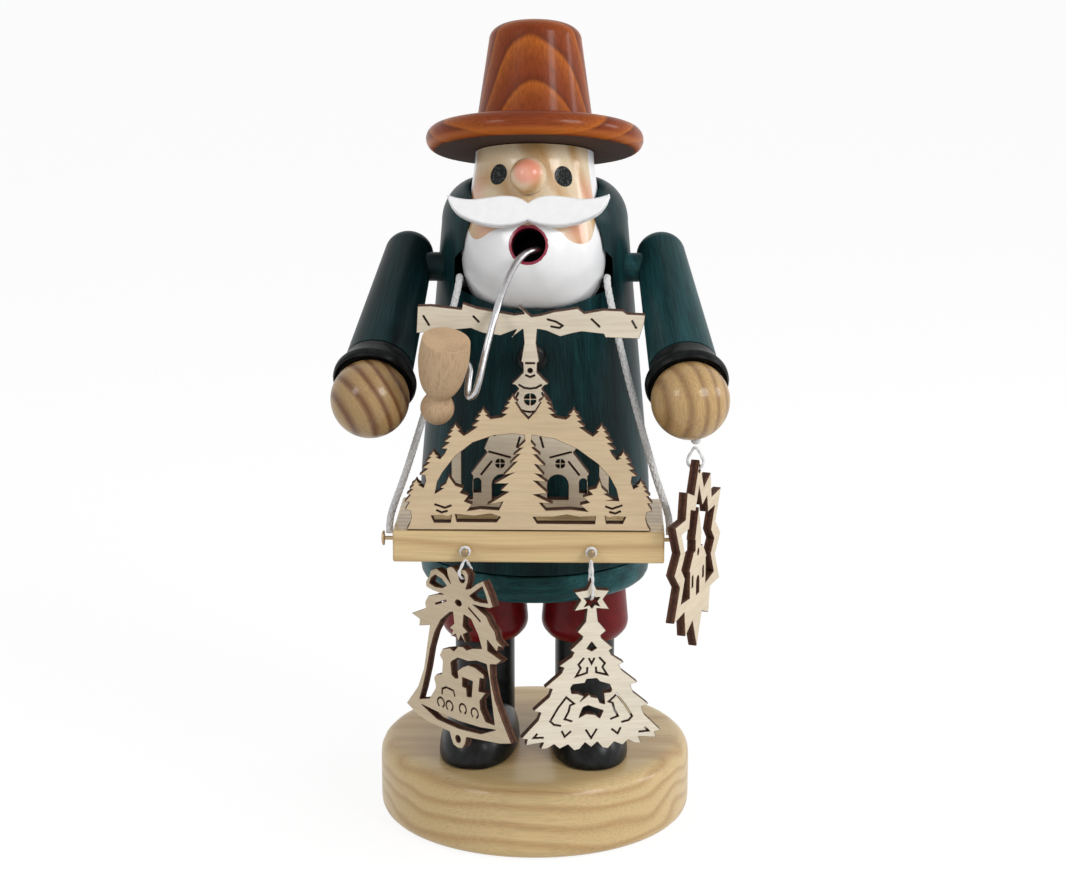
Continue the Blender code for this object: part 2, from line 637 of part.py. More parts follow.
def nose_mesh():
    rim = math.asin((NOSE_PROUD - FIT) / NOSE_RADIUS)
    ball = arc(0.0, NOSE_PROUD, NOSE_RADIUS, -rim, 90.0 * DEG, 5)
    profile = [(0.0, -PEG_LENGTH), (PEG_RADIUS, -PEG_LENGTH), (PEG_RADIUS, FIT)] + ball[:-1]
    profile.append((0.0, NOSE_PROUD + NOSE_RADIUS))
    return turned_mesh("nose", profile, FACETS_SMALL)


def drawing_unit(half, width):
    """Length of one unit of a drawing whose right half is given, for the width of the piece."""
    return width / (2.0 * max(x for x, z in half))


def scaled(points, unit):
    return [(x * unit, z * unit) for x, z in points]


def flipped(points):
    return [(-x, z) for x, z in reversed(points)]


def mirrored(half, width):
    """Whole outline from its right half, which starts and ends on the centre line."""
    return scaled(half + flipped(half[1:-1]), drawing_unit(half, width))


def moustache_outline():
    half = [(0.0, 1.75), (1.8, 2.9), (4.0, 3.6), (6.7, 3.7), (10.0, 3.3), (13.8, 2.7),
            (17.5, 2.9), (21.1, 4.0), (20.4, 1.6), (18.6, -0.8), (16.3, -2.2),
            (12.5, -3.7), (7.9, -4.45), (4.0, -4.1), (1.6, -3.5), (0.0, -2.8)]
    return mirrored(half, MOUSTACHE_WIDTH)


def hat(mats, axis):
    hole = HAT_DOWEL_RADIUS + FIT
    half = BRIM_THICKNESS / 2.0
    rim = arc(BRIM_RADIUS - half, half, half, -80.0 * DEG, 80.0 * DEG, 5)
    brim = [(hole, 0.0), (BRIM_RADIUS - BRIM_THICKNESS, 0.0)] + rim
    brim += [(BRIM_RADIUS - BRIM_THICKNESS, BRIM_WAIST), (hole, BRIM_WAIST)]
    place("hat_brim", turned_mesh("hat_brim", brim, FACETS_LARGE, True), mats["brown"], axis,
          (0.0, 0.0, FIT - HEAD_FLAT_DROP))
    side = CROWN_HEIGHT - CROWN_ROUND
    hole_end = HAT_DOWEL_IN_CROWN + FIT
    crown = [(0.0, hole_end), (hole, hole_end), (hole, 0.0), (CROWN_BASE_RADIUS, 0.0)]
    flat = CROWN_TOP_RADIUS - CROWN_ROUND_WIDTH
    for x, z in arc(0.0, 0.0, 1.0, 0.0, 80.0 * DEG, 4):
        crown.append((flat + CROWN_ROUND_WIDTH * x, side + CROWN_ROUND * z))
    crown.append((0.0, CROWN_HEIGHT))
    seat = BRIM_WAIST + 2.0 * FIT - HEAD_FLAT_DROP
    place("hat_crown", turned_mesh("hat_crown", crown, FACETS_LARGE), mats["brown"],
          axis, (0.0, 0.0, seat))
    dowel = pin_mesh("hat_dowel", HAT_DOWEL_RADIUS, -HEAD_FLAT_DROP - HAT_DOWEL_IN_HEAD,
                     seat + HAT_DOWEL_IN_CROWN, FACETS_SMALL)
    place("hat_dowel", dowel, mats["raw"], axis)


def arm(side, sign, mats, body):
    shoulder = Vector((sign * SHOULDER_OUT, -SHOULDER_FORWARD,
                       COAT_TOP_Z - SHOULDER_BELOW_CROWN))
    out = math.sin(ARM_SPREAD) * sign
    ahead = math.cos(ARM_SPREAD) * math.cos(ARM_DROOP)
    down = math.cos(ARM_SPREAD) * math.sin(ARM_DROOP)
    along = Vector((out, -ahead, -down))
    turn = Vector((0.0, 0.0, 1.0)).rotation_difference(along).to_euler()
    axis = empty(side + "_arm_axis", shoulder, turn)
    sleeve = place(side + "_sleeve", sleeve_mesh(side + "_sleeve"), mats["green"], axis)
    place(side + "_cuff", cuff_mesh(side + "_cuff"), mats["black"], axis,
          (0.0, 0.0, SLEEVE_LENGTH + FIT))
    ball = arc(0.0, 0.0, HAND_RADIUS, -90.0 * DEG, 90.0 * DEG, 10)
    hand_profile = [(0.0, -HAND_RADIUS)] + ball[1:-1] + [(0.0, HAND_RADIUS)]
    hand = place(side + "_hand", turned_mesh(side + "_hand", hand_profile, FACETS_MEDIUM),
                 mats["pine"], axis, (0.0, 0.0, ARM_LENGTH))
    centre = shoulder + along * ARM_DOWEL_ALONG
    surface = math.sqrt(coat_radius_at(centre.z - COAT_Z) ** 2 - centre.y ** 2)
    inner = surface - ARM_DOWEL_IN_COAT
    outer = abs(centre.x) - SLEEVE_TOP_RADIUS + ARM_DOWEL_IN_SLEEVE + ARM_DOWEL_RADIUS
    start = Vector((sign * inner, centre.y, centre.z))
    end = Vector((sign * outer, centre.y, centre.z))
    ease = Vector((sign * FIT, 0.0, 0.0))
    drill(body, side + "_shoulder_hole", ARM_DOWEL_RADIUS + FIT, start - ease,
          (sign * SHOULDER_OUT, centre.y, centre.z))
    drill(sleeve, side + "_sleeve_hole", ARM_DOWEL_RADIUS + FIT, end + ease,
          (0.0, centre.y, centre.z))
    dowel = pin_mesh(side + "_shoulder_dowel", ARM_DOWEL_RADIUS, 0.0, (end - start).length,
                     FACETS_SMALL)
    place(side + "_shoulder_dowel", dowel, mats["green"], None, start,
          (0.0, math.copysign(90.0 * DEG, sign), 0.0))
    return hand, shoulder + along * ARM_LENGTH


def sleeve_mesh(name):
    flat = SLEEVE_TOP_RADIUS - SLEEVE_ROUND_WIDTH
    profile = [(0.0, -SLEEVE_ROUND)]
    for x, z in arc(0.0, 0.0, 1.0, -75.0 * DEG, 0.0, 3):
        profile.append((flat + SLEEVE_ROUND_WIDTH * x, SLEEVE_ROUND * z))
    profile += [(SLEEVE_END_RADIUS, SLEEVE_LENGTH), (0.0, SLEEVE_LENGTH)]
    return turned_mesh(name, profile, FACETS_MEDIUM)


def cuff_mesh(name):
    """Flared ring whose front is hollowed to take the ball hand."""
    ball_z = ARM_LENGTH - SLEEVE_LENGTH - FIT
    cup = HAND_RADIUS + FIT
    face = CUFF_LENGTH - CUFF_LIP
    band = CUFF_LENGTH - CUFF_BAND
    middle = SLEEVE_END_RADIUS + (CUFF_RADIUS - SLEEVE_END_RADIUS) * CUFF_FLARE_EASE
    profile = [(0.0, 0.0), (SLEEVE_END_RADIUS, 0.0), (middle, band / 2.0), (CUFF_RADIUS, band),
               (CUFF_RADIUS, face), (CUFF_RADIUS - CUFF_LIP / 2.0, CUFF_LENGTH),
               (CUFF_RADIUS - CUFF_LIP * 1.5, face)]
    rim = math.acos((ball_z - face) / cup)
    hollow = arc(0.0, ball_z, cup, rim - 90.0 * DEG, -90.0 * DEG, 4)
    profile += hollow[:-1]
    profile.append((0.0, ball_z - cup))
    return turned_mesh(name, profile, FACETS_MEDIUM)


def tray(mats, body):
    centre_y = (TRAY_FRONT_Y + TRAY_BACK_Y) / 2.0
    centre_z = TRAY_Z + TRAY_THICKNESS / 2.0
    work = bmesh.new()
    bmesh.ops.create_cube(work, size=1.0)
    bmesh.ops.scale(work, vec=(TRAY_WIDTH, TRAY_DEPTH, TRAY_THICKNESS), verts=work.verts)
    bmesh.ops.bevel(work, geom=list(work.edges), offset=TRAY_EDGE, segments=2, profile=0.5,
                    affect="EDGES")
    mesh = bpy.data.meshes.new("tray_board")
    work.to_mesh(mesh)
    work.free()
    board = place("tray_board", mesh, mats["pine"], location=(0.0, centre_y, centre_z))
    coat_end = TRAY_BACK_Y + TRAY_DOWEL_IN_COAT
    tray_end = coat_end - TRAY_DOWEL_LENGTH
    for side, x in sides(TRAY_DOWEL_SPACING / 2.0):
        dowel = pin_mesh(side + "_tray_dowel", TRAY_DOWEL_RADIUS, 0.0, TRAY_DOWEL_LENGTH,
                         FACETS_PIN)
        place(side + "_tray_dowel", dowel, mats["raw"], None, (x, coat_end, centre_z),
              (90.0 * DEG, 0.0, 0.0))
        drill(board, side + "_tray_hole", TRAY_DOWEL_RADIUS + FIT, (x, tray_end - FIT, centre_z),
              (x, 0.0, centre_z))
        drill(body, side + "_coat_hole", TRAY_DOWEL_RADIUS + FIT, (x, coat_end + FIT, centre_z),
              (x, TRAY_FRONT_Y, centre_z))
    for side, x in sides(STRING_NAIL_SPACING / 2.0):
        z = TRAY_TOP_Z - STRING_NAIL_BELOW_TOP
        drill(board, side + "_string_nail_hole", NAIL_RADIUS + FIT,
              (x, TRAY_FRONT_Y + NAIL_DEPTH + FIT, z), (x, TRAY_FRONT_Y - FIT, z),
              facets=FACETS_PIN)
    for side, x in sides(TRAY_WIDTH / 2.0):
        inner = x - math.copysign(NAIL_DEPTH + FIT, x)
        outer = x + math.copysign(FIT, x)
        y = TRAY_FRONT_Y + CORD_NAIL_FROM_FRONT
        z = TRAY_TOP_Z - CORD_NAIL_BELOW_TOP
        drill(board, side + "_cord_nail_hole", NAIL_RADIUS + FIT, (inner, y, z), (outer, y, z),
              facets=FACETS_PIN)


def fir_side(x, z, tiers, pitch, spread, notch):
    """One side of a fir from its tip downwards: branch tips that step out, with notches."""
    points = []
    for i in range(1, tiers + 1):
        points.append((x + spread * i, z - pitch * i))
        if i < tiers:
            points.append((x + spread * i - notch, z - pitch * i + 0.25))
    return points


def arch_half():
    """Right half of the arch's outline, from the middle of its crest to the foot."""
    points = [(0.0, 29.6), (2.2, 30.2), (4.0, 33.2)]
    points += fir_side(4.0, 33.2, 2, 1.7, 1.1, 0.7)
    points += [(8.2, 28.9), (10.3, 28.9), (11.4, 31.0)]
    points += fir_side(11.4, 31.0, 2, 1.8, 1.2, 0.7)
    points += [(15.6, 25.6), (17.4, 25.4), (18.6, 27.0)]
    points += fir_side(18.6, 27.0, 3, 1.8, 1.0, 0.7)
    points += [(22.2, 19.0), (23.9, 20.2)]
    points += fir_side(23.9, 20.2, 3, 1.9, 1.0, 0.7)
    points += [(26.4, 11.0), (27.6, 12.6)]
    points += fir_side(27.6, 12.6, 4, 1.8, 0.8, 0.9)
    points += [(29.4, 5.0), (29.3, 3.8), (30.8, 0.0), (0.0, 0.0)]
    return points


def arch_opening():
    """Right opening: between the middle fir, the ground strip, a small fir and the arch."""
    points = [(0.9, 24.3)]
    points += fir_side(0.5, 23.6, 6, 3.0, 1.25, 1.1)
    points += [(8.6, 4.9), (13.6, 4.9)]
    small = fir_side(0.0, 13.2, 4, 1.8, 1.1, 0.8)
    points += [(19.0 - x, z) for x, z in reversed(small)]
    points += [(19.0, 13.2), (20.4, 13.6)]
    for angle in (40.0, 50.0, 60.0, 70.0, 80.0):
        points.append((24.4 * math.cos(angle * DEG) + 0.9, 24.3 * math.sin(angle * DEG)))
    return points


def rectangle(x0, z0, x1, z1):
    return [(x0, z0), (x1, z0), (x1, z1), (x0, z1)]


def disc_points(x, z, radius, count=10):
    return [(x + radius * math.cos(2.0 * math.pi * i / count),
             z + radius * math.sin(2.0 * math.pi * i / count)) for i in range(count)]


def front_arch(mats):
    opening = arch_opening()
    slots = [rectangle(6.0, 1.6, 17.2, 3.2), rectangle(19.6, 1.8, 23.6, 4.0)]
    holes = [opening, flipped(opening)]
    for slot in slots:
        holes += [slot, flipped(slot)]
    unit = drawing_unit(arch_half(), ARCH_WIDTH)
    mesh = plate_mesh("front_arch", mirrored(arch_half(), ARCH_WIDTH),
                      [scaled(hole, unit) for hole in holes], PLY)
    place("front_arch", mesh, mats["ply"],
          location=(0.0, TRAY_FRONT_Y + ARCH_SETBACK + PLY / 2.0, TRAY_TOP_Z + FIT))


def wing_half():
    """Right half of the back plate: rotor wing, tower, roof, houses and ground strip."""
    return [(0.0, 51.5), (2.9, 51.6), (5.0, 52.6), (12.2, 53.6), (13.9, 52.2), (23.8, 53.4),
            (25.0, 52.2), (29.0, 52.3), (28.0, 45.6), (19.6, 45.9), (11.2, 47.7), (8.1, 46.4),
            (2.4, 48.1), (1.6, 46.8), (2.2, 39.7), (1.8, 39.0), (1.8, 36.6), (2.6, 35.0),
            (4.8, 33.6), (3.6, 32.8), (3.8, 27.6), (5.4, 25.4), (9.2, 23.4), (12.5, 20.4),
            (14.2, 20.4), (15.4, 17.6), (17.8, 15.4), (17.8, 22.0), (20.2, 21.0), (20.2, 3.6),
            (22.5, 3.6), (22.5, 0.0), (0.0, 0.0)]


def back_plate(mats):
    half_holes = [disc_points(7.8, 13.0, 1.3), rectangle(12.1, 5.6, 14.2, 9.4),
                  rectangle(4.8, 4.4, 9.8, 9.8)]
    holes = [disc_points(0.0, 29.9, 1.5), disc_points(0.0, 37.6, 0.75, 8),
             rectangle(-1.9, 5.0, 1.9, 20.5)]
    for hole in half_holes:
        holes += [hole, flipped(hole)]
    unit = drawing_unit(wing_half(), WINGS_WIDTH)
    mesh = plate_mesh("back_plate", mirrored(wing_half(), WINGS_WIDTH),
                      [scaled(hole, unit) for hole in holes], PLY)
    place("back_plate", mesh, mats["ply"],
          location=(0.0, TRAY_FRONT_Y + BACK_PLATE_SETBACK + PLY / 2.0, TRAY_TOP_Z + FIT))


def spline_points(route, steps):
    """Smooth curve through the route's points (Catmull-Rom), with even steps between them."""
    padded = [2.0 * route[0] - route[1]] + route + [2.0 * route[-1] - route[-2]]
    points = []
    for i in range(1, len(padded) - 2):
        p0, p1, p2, p3 = padded[i - 1:i + 3]
        for j in range(steps):
            t = j / steps
            points.append(0.5 * (2.0 * p1 + (p2 - p0) * t
                                 + (2.0 * p0 - 5.0 * p1 + 4.0 * p2 - p3) * t ** 2
                                 + (3.0 * p1 - p0 - 3.0 * p2 + p3) * t ** 3))
    points.append(route[-1])
    return points


def tube(name, points, radius, mat, cyclic=False, parent=None):
    curve = bpy.data.curves.new(name, "CURVE")
    curve.dimensions = "3D"
    curve.bevel_depth = radius
    curve.bevel_resolution = 2
    curve.use_fill_caps = True
    spline = curve.splines.new("POLY")
    spline.points.add(len(points) - 1)
    for slot, point in zip(spline.points, points):
        slot.co = (*point, 1.0)
    spline.use_cyclic_u = cyclic
    curve.materials.append(mat)
    item = bpy.data.objects.new(name, curve)
    item.parent = parent
    bpy.context.collection.objects.link(item)
    return item


def cord_route():
    """Neck cord, in millimetres: from the tray's right end, round the neck, to its left end."""
    right = [(-35.6, -56.2, 95.0), (-35.5, -54.9, 98.2), (-34.6, -52.9, 101.6),
             (-31.9, -48.0, 108.9), (-27.6, -39.5, 122.4),
             (-23.6, -31.1, 136.2), (-20.9, -24.9, 147.2), (-19.7, -21.2, 152.5),
             (-19.5, -18.1, 154.5), (-19.5, -14.6, 153.5), (-19.0, -8.6, 151.5),
             (-15.4, -1.7, 149.4), (-8.9, 3.5, 147.8)]
    left = [(-x, y, z) for x, y, z in reversed(right)]
    return [Vector(point) * MM for point in right + [(0.0, 5.6, 147.2)] + left]


def neck_cord(mats):
    tube("neck_cord", spline_points(cord_route(), 2), CORD_RADIUS, mats["cord"])
    reach = 2.0 * CORD_RADIUS + 3.0 * FIT
    for side, x in sides(TRAY_WIDTH / 2.0 + reach):
        nail = nail_mesh(side + "_cord_nail", NAIL_RADIUS, NAIL_HEAD_RADIUS, NAIL_HEAD,
                         NAIL_DEPTH + reach)
        place(side + "_cord_nail", nail, mats["steel"], None,
              (x, TRAY_FRONT_Y + CORD_NAIL_FROM_FRONT, TRAY_TOP_Z - CORD_NAIL_BELOW_TOP),
              (0.0, math.copysign(90.0 * DEG, x), 0.0))


def wire_route():
    """Pipe wire, from inside the mouth to inside the bowl's side. Its points are millimetres
    from the middle of the head's top."""
    points = [(2.2, -21.5, -24.5), (1.0, -24.5, -23.7), (-1.4, -27.9, -23.9),
              (-3.8, -32.1, -25.7), (-5.8, -37.9, -28.9), (-7.4, -43.9, -32.5),
              (-8.5, -47.7, -35.9), (-9.7, -50.3, -40.2), (-11.1, -52.7, -45.7),
              (-12.3, -54.7, -51.1), (-13.3, -55.5, -54.6), (-14.5, -55.4, -56.0),
              (-15.3, -54.5, -55.2), (-15.2, -52.9, -52.5), (-15.0, -51.1, -49.9),
              (-15.9, -50.4, -48.4), (-17.2, -51.5, -47.8), (-19.2, -53.5, -47.2)]
    return [HEAD_TOP + Vector(point) * MM for point in points]


def pipe(mats):
    route = wire_route()
    tube("pipe_wire", spline_points(route, 2), WIRE_RADIUS, mats["wire"])
    ball = arc(0.0, BOWL_BALL_RADIUS, BOWL_BALL_RADIUS, -90.0 * DEG, 40.0 * DEG, 5)
    profile = [(0.0, 0.0)] + ball[1:] + [(BOWL_NECK_RADIUS, BOWL_NECK_HEIGHT)]
    cup = BOWL_LENGTH - BOWL_NECK_HEIGHT
    for share, swell in BOWL_SWELL:
        profile.append((BOWL_RADIUS * swell, BOWL_NECK_HEIGHT + cup * share))
    profile += [(BOWL_TOP_RADIUS, BOWL_LENGTH), (0.0, BOWL_LENGTH)]
    turn = Vector((0.0, 0.0, 1.0)).rotation_difference(BOWL_AXIS).to_euler()
    bowl = place("pipe_bowl", turned_mesh("pipe_bowl", profile, FACETS_MEDIUM), mats["raw"],
                 None, HEAD_TOP + BOWL_TOP_FROM_HEAD - BOWL_AXIS * BOWL_LENGTH, turn)
    end = route[-1]
    entry = route[-2]
    inward = (end - entry).normalized()
    drill(bowl, "wire_hole", WIRE_RADIUS + 2.0 * FIT, entry - inward * WIRE_RADIUS * 3.0,
          end + inward * FIT, facets=FACETS_SMALL)


def loop_points(top, bottom):
    """Closed loop in the YZ plane: narrow under the knot, and wide enough for the plate below."""
    flare = top - LOOP_FLARE
    points = arc(0.0, top - LOOP_NECK, LOOP_NECK, 0.0, 180.0 * DEG, 4)
    points.append((-LOOP_HALF_WIDTH, flare))
    points += arc(0.0, bottom + LOOP_HALF_WIDTH, LOOP_HALF_WIDTH, 180.0 * DEG, 360.0 * DEG, 6)
    points.append((LOOP_HALF_WIDTH, flare))
    return [Vector((0.0, y, z)) for y, z in points]


def hang(name, knot, gap, twist, loops, mats, drop):
    """Ornament under a knot. The knot's frame swings, and the loop and plate twist below it."""
    turn = empty(name + "_twist_axis", (0.0, 0.0, 0.0), (0.0, 0.0, twist), knot)
    mesh = plate_mesh(name + "_ornament", loops[0], loops[1:], ORNAMENT_PLY)
    place(name + "_ornament", mesh, mats["ply"], turn, (0.0, 0.0, -drop))
    rise = LOOP_HALF_WIDTH - math.sqrt(LOOP_HALF_WIDTH ** 2 - (ORNAMENT_PLY / 2.0 + FIT) ** 2)
    low = -drop + EYE_RADIUS - STRING_RADIUS - FIT - rise
    strands = loop_points(-gap - FIT - STRING_RADIUS, low)
    tube(name + "_string_loop", strands, STRING_RADIUS, mats["cord"], True, turn)


def tray_knot(side, x, name, mats):
    """Nail in the tray's front, with the knot that turns on it."""
    reach = KNOT_THICKNESS + 3.0 * FIT
    z = TRAY_TOP_Z - STRING_NAIL_BELOW_TOP
    nail = nail_mesh(side + "_string_nail", NAIL_RADIUS, STRING_NAIL_HEAD_RADIUS, NAIL_HEAD,
                     NAIL_DEPTH + reach)
    place(side + "_string_nail", nail, mats["steel"], None, (x, TRAY_FRONT_Y - reach, z),
          (90.0 * DEG, 0.0, 0.0))
    half = KNOT_THICKNESS / 2.0
    middle = (KNOT_RADIUS + KNOT_EYE_RADIUS) / 2.0
    across = (KNOT_RADIUS - KNOT_EYE_RADIUS) / 2.0
    ring = [(middle + across * math.cos(a * DEG), half * math.sin(a * DEG))
            for a in range(-90, 270, 60)]
    swing = empty(name + "_swing_axis", (x, TRAY_FRONT_Y - reach / 2.0, z))
    place(name + "_string_knot", turned_mesh(name + "_string_knot", ring, FACETS_SMALL, True),
          mats["cord"], swing, rotation=(90.0 * DEG, 0.0, 0.0))
    return swing


def hand_knot(hand, centre, mats):
    """Knot of the star's string, half sunk in the underside of the left hand."""
    top = centre + Vector((STAR_OUTWARD, 0.0, -HAND_RADIUS))
    swing = empty("star_swing_axis", top)
    ball = arc(0.0, 0.0, HAND_KNOT_RADIUS, -90.0 * DEG, 90.0 * DEG, 5)
    profile = [(0.0, -HAND_KNOT_RADIUS)] + ball[1:-1] + [(0.0, HAND_KNOT_RADIUS)]
    place("star_string_knot", turned_mesh("star_string_knot", profile, FACETS_SMALL),
          mats["cord"], swing)
    room = HAND_KNOT_RADIUS + FIT
    drill(hand, "star_knot_hole", room, top - Vector((0.0, 0.0, room)),
          top + Vector((0.0, 0.0, room)))
    return swing


def tree_half():
    """Right half of the fir ornament round its hanging eye: star, stem, six tiers, hem."""
    return [(0.0, 5.2), (1.5, 2.4), (4.5, 2.2), (2.9, -0.2), (4.5, -2.7), (1.5, -3.0),
            (1.5, -5.6), (3.7, -8.3), (2.5, -10.1), (5.6, -13.0), (4.9, -14.8), (8.5, -17.2),
            (7.5, -19.4), (11.9, -22.6), (10.7, -25.1), (14.9, -28.4), (13.6, -31.2),
            (18.1, -35.8), (16.5, -37.7), (13.0, -39.1), (9.6, -37.9), (7.2, -38.8),
            (4.6, -39.3), (2.4, -38.2), (0.0, -39.3)]


def tree_holes():
    """Peak hole, a grazing animal and its young."""
    peak = [(-1.4, -13.4), (1.4, -13.4), (0.0, -11.2)]
    animal = [(-5.4, -25.0), (-3.0, -26.6), (3.6, -27.6), (5.3, -25.2), (5.3, -23.2),
              (0.4, -20.9), (-4.0, -21.8)]
    young = [(-3.1, -31.2), (2.4, -31.6), (3.2, -29.6), (0.6, -28.4), (-1.6, -28.6)]
    return [peak, animal, young]


def bell_half():
    """Right half of the bell ornament: bow, ribbon, bell, clapper ring."""
    return [(0.0, 1.4), (1.9, 1.8), (3.4, 2.3), (4.8, 1.8), (5.6, -0.6), (9.9, 0.6),
            (12.6, -4.8), (6.8, -5.9), (13.8, -8.0), (19.2, -13.2), (15.0, -13.7),
            (14.0, -16.3), (9.9, -13.6), (11.0, -18.0), (12.6, -22.8), (13.8, -29.0),
            (15.4, -33.4), (20.0, -38.8), (15.6, -40.1), (9.4, -41.3), (2.8, -42.0),
            (2.6, -44.2), (1.4, -45.5), (0.0, -45.8)]


def bell_holes():
    """Openings round a small star, a puff of smoke and a toy engine that stands on the hem."""
    knot = disc_points(0.0, -5.7, 0.9, 8)
    ring = disc_points(0.0, -43.1, 1.2, 8)
    sky = [(0.5, -9.2), (3.2, -9.8), (6.0, -12.2), (7.6, -14.6), (8.4, -17.0), (0.5, -18.2),
           (1.2, -15.2), (3.0, -13.8), (1.2, -12.8)]
    left = [(-0.5, -9.2), (-1.2, -12.8), (-3.0, -13.8), (-1.2, -15.2), (-0.6, -18.4),
            (-6.2, -20.5), (-7.2, -22.4), (-5.6, -23.6), (-6.4, -27.2), (-9.2, -29.2),
            (-8.8, -33.4), (-9.6, -35.2), (-13.8, -35.4), (-12.2, -31.0), (-11.0, -26.0),
            (-9.8, -21.4), (-7.8, -16.2), (-5.4, -12.2), (-3.2, -10.0)]
    right = [(-2.9, -22.6), (1.8, -21.3), (6.8, -20.3), (10.0, -20.6), (11.0, -24.0),
             (12.0, -29.8), (13.2, -35.6), (8.6, -35.2), (7.0, -30.0), (7.2, -25.2),
             (8.6, -24.2), (3.8, -22.4), (0.2, -23.9), (-0.1, -26.7), (-3.0, -26.5)]
    window = rectangle(1.9, -29.8, 5.0, -26.2)
    slit = [(-15.4, -38.0), (0.0, -38.9), (15.4, -38.0), (8.0, -39.6), (0.0, -40.2), (-8.0, -39.6)]
    return [knot, ring, sky, left, right, window, slit]


def shifted(points, aside):
    return [(x + aside, z) for x, z in points]


def star_loop(centre):
    """Star outline: long points and short points by turns, with a notch after each."""
    reaches = (STAR_LONG_RADIUS, STAR_NOTCH_RADIUS, STAR_SHORT_RADIUS, STAR_NOTCH_RADIUS)
    points = []
    for i in range(2 * STAR_POINTS):
        reach = reaches[i % len(reaches)]
        angle = 90.0 * DEG + math.pi * i / STAR_POINTS
        points.append((reach * math.cos(angle), centre + reach * math.sin(angle)))
    return points


def star_holes(centre):
    """Open field inside the frame, either side of a church with a tall spire on a hill."""
    rim = arc(0.0, 0.0, STAR_FIELD_RADIUS, 86.0 * DEG, -16.0 * DEG, 4)
    church = [(0.72, -0.50), (0.42, -0.44), (0.42, 0.02), (0.22, 0.12), (0.12, 0.30)]
    right = rim + [(x * STAR_FIELD_RADIUS, z * STAR_FIELD_RADIUS) for x, z in church]
    field = [(x, z + centre) for x, z in right]
    return [field, flipped(field)]


def ornaments(mats, hand, hand_centre):
    eye = disc_points(0.0, 0.0, EYE_RADIUS)
    (right, right_x), (left, left_x) = sides(STRING_NAIL_SPACING / 2.0)
    unit = drawing_unit(bell_half(), BELL_WIDTH)
    bell = [eye] + [shifted(scaled(hole, unit), -BELL_EYE_ASIDE) for hole in bell_holes()]
    hang("bell", tray_knot(right, right_x, "bell", mats), KNOT_RADIUS, -BELL_TWIST,
         [shifted(mirrored(bell_half(), BELL_WIDTH), -BELL_EYE_ASIDE)] + bell, mats, BELL_DROP)
    unit = drawing_unit(tree_half(), TREE_WIDTH)
    tree = [eye] + [scaled(hole, unit) for hole in tree_holes()]
    hang("tree", tray_knot(left, left_x, "tree", mats), KNOT_RADIUS, TREE_TWIST,
         [mirrored(tree_half(), TREE_WIDTH)] + tree, mats, TREE_DROP)
    centre = EYE_RADIUS + EYE_LAND - STAR_LONG_RADIUS
    hang("star", hand_knot(hand, hand_centre, mats), HAND_KNOT_RADIUS, STAR_TWIST,
         [star_loop(centre), eye] + star_holes(centre), mats, STAR_DROP)


def build():
    clear_scene()
    mats = finishes()
    base(mats)
    for side, x in sides(LEG_SPACING / 2.0):
        leg(side, x, mats)
    hem(mats)
    dish(mats)
    turn = Matrix.Rotation(-HEAD_TILT, 3, "X") @ Matrix.Rotation(-HEAD_TURN, 3, "Z")
    head_axis = empty("head_axis", HEAD_TOP, turn.to_euler())
    body = coat(mats, head_axis)
    button(mats, body)
    head(mats, head_axis)
    hat(mats, head_axis)
    arm("right", -1.0, mats, body)
    hand, hand_centre = arm("left", 1.0, mats, body)
    tray(mats, body)
    front_arch(mats)
    back_plate(mats)
    neck_cord(mats)
    pipe(mats)
    ornaments(mats, hand, hand_centre)
    bpy.context.view_layer.update()


build()
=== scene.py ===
"""A turned wooden smoker figure: a bearded pedlar with a tray of cut-out scenes.

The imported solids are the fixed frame. Each piece here is worked out in millimetres, +Z up and
the figure looking along -Y, and is put in its place in its mesh. The figure's own right hand
is at -X.
"""
import math

import bmesh
import bpy
import numpy as np
from bpy.props import FloatProperty, FloatVectorProperty, IntProperty, PointerProperty
from mathutils import Matrix, Vector


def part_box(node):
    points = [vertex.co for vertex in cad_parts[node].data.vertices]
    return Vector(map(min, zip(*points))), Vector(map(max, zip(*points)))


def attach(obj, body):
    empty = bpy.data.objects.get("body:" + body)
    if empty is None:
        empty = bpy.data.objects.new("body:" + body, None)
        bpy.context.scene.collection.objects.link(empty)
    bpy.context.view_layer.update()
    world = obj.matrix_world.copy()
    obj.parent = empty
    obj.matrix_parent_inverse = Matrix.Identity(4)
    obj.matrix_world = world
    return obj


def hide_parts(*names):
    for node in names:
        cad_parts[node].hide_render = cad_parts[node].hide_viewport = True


bl_info = {
    "name": "Turned smoker figure",
    "version": (1, 0, 0),
    "blender": (4, 5, 0),
    "location": "3D View > Sidebar > Smoker",
    "description": "Builds the fine surfaces and finishes of a turned wooden smoker figure",
    "category": "Object",
}

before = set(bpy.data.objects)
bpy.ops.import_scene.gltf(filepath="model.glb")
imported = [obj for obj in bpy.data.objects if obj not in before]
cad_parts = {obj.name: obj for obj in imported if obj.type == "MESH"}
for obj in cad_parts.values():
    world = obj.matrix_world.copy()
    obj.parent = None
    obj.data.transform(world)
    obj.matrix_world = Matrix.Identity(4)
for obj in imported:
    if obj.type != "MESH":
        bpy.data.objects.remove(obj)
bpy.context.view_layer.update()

MM = 0.001
DEG = math.radians(1.0)
GAP = 0.3
SHARP = 32.0 * DEG
PLY = 3.0
EASE_STEPS = 6
FACE_LEAN, LIP_LEAN = 0.95, 0.3
FIRST_SIDE = (0.31, 0.22, 0.92)
STRANDS = 5
BRAID_PITCH = 1.1
THREAD_PITCH = 2.2
WOUND_PITCH = 0.74
ONE_PLY = 0.77
PLY_COUNT_FROM = 40.0
PLAIN = (1.0, 1.0, 1.0)
SIDES = (("right", -1.0), ("left", 1.0))


def extent(node):
    """Lowest corner and size of a solid, in millimetres."""
    low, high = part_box(node)
    return np.array(low) / MM, np.array(high - low) / MM


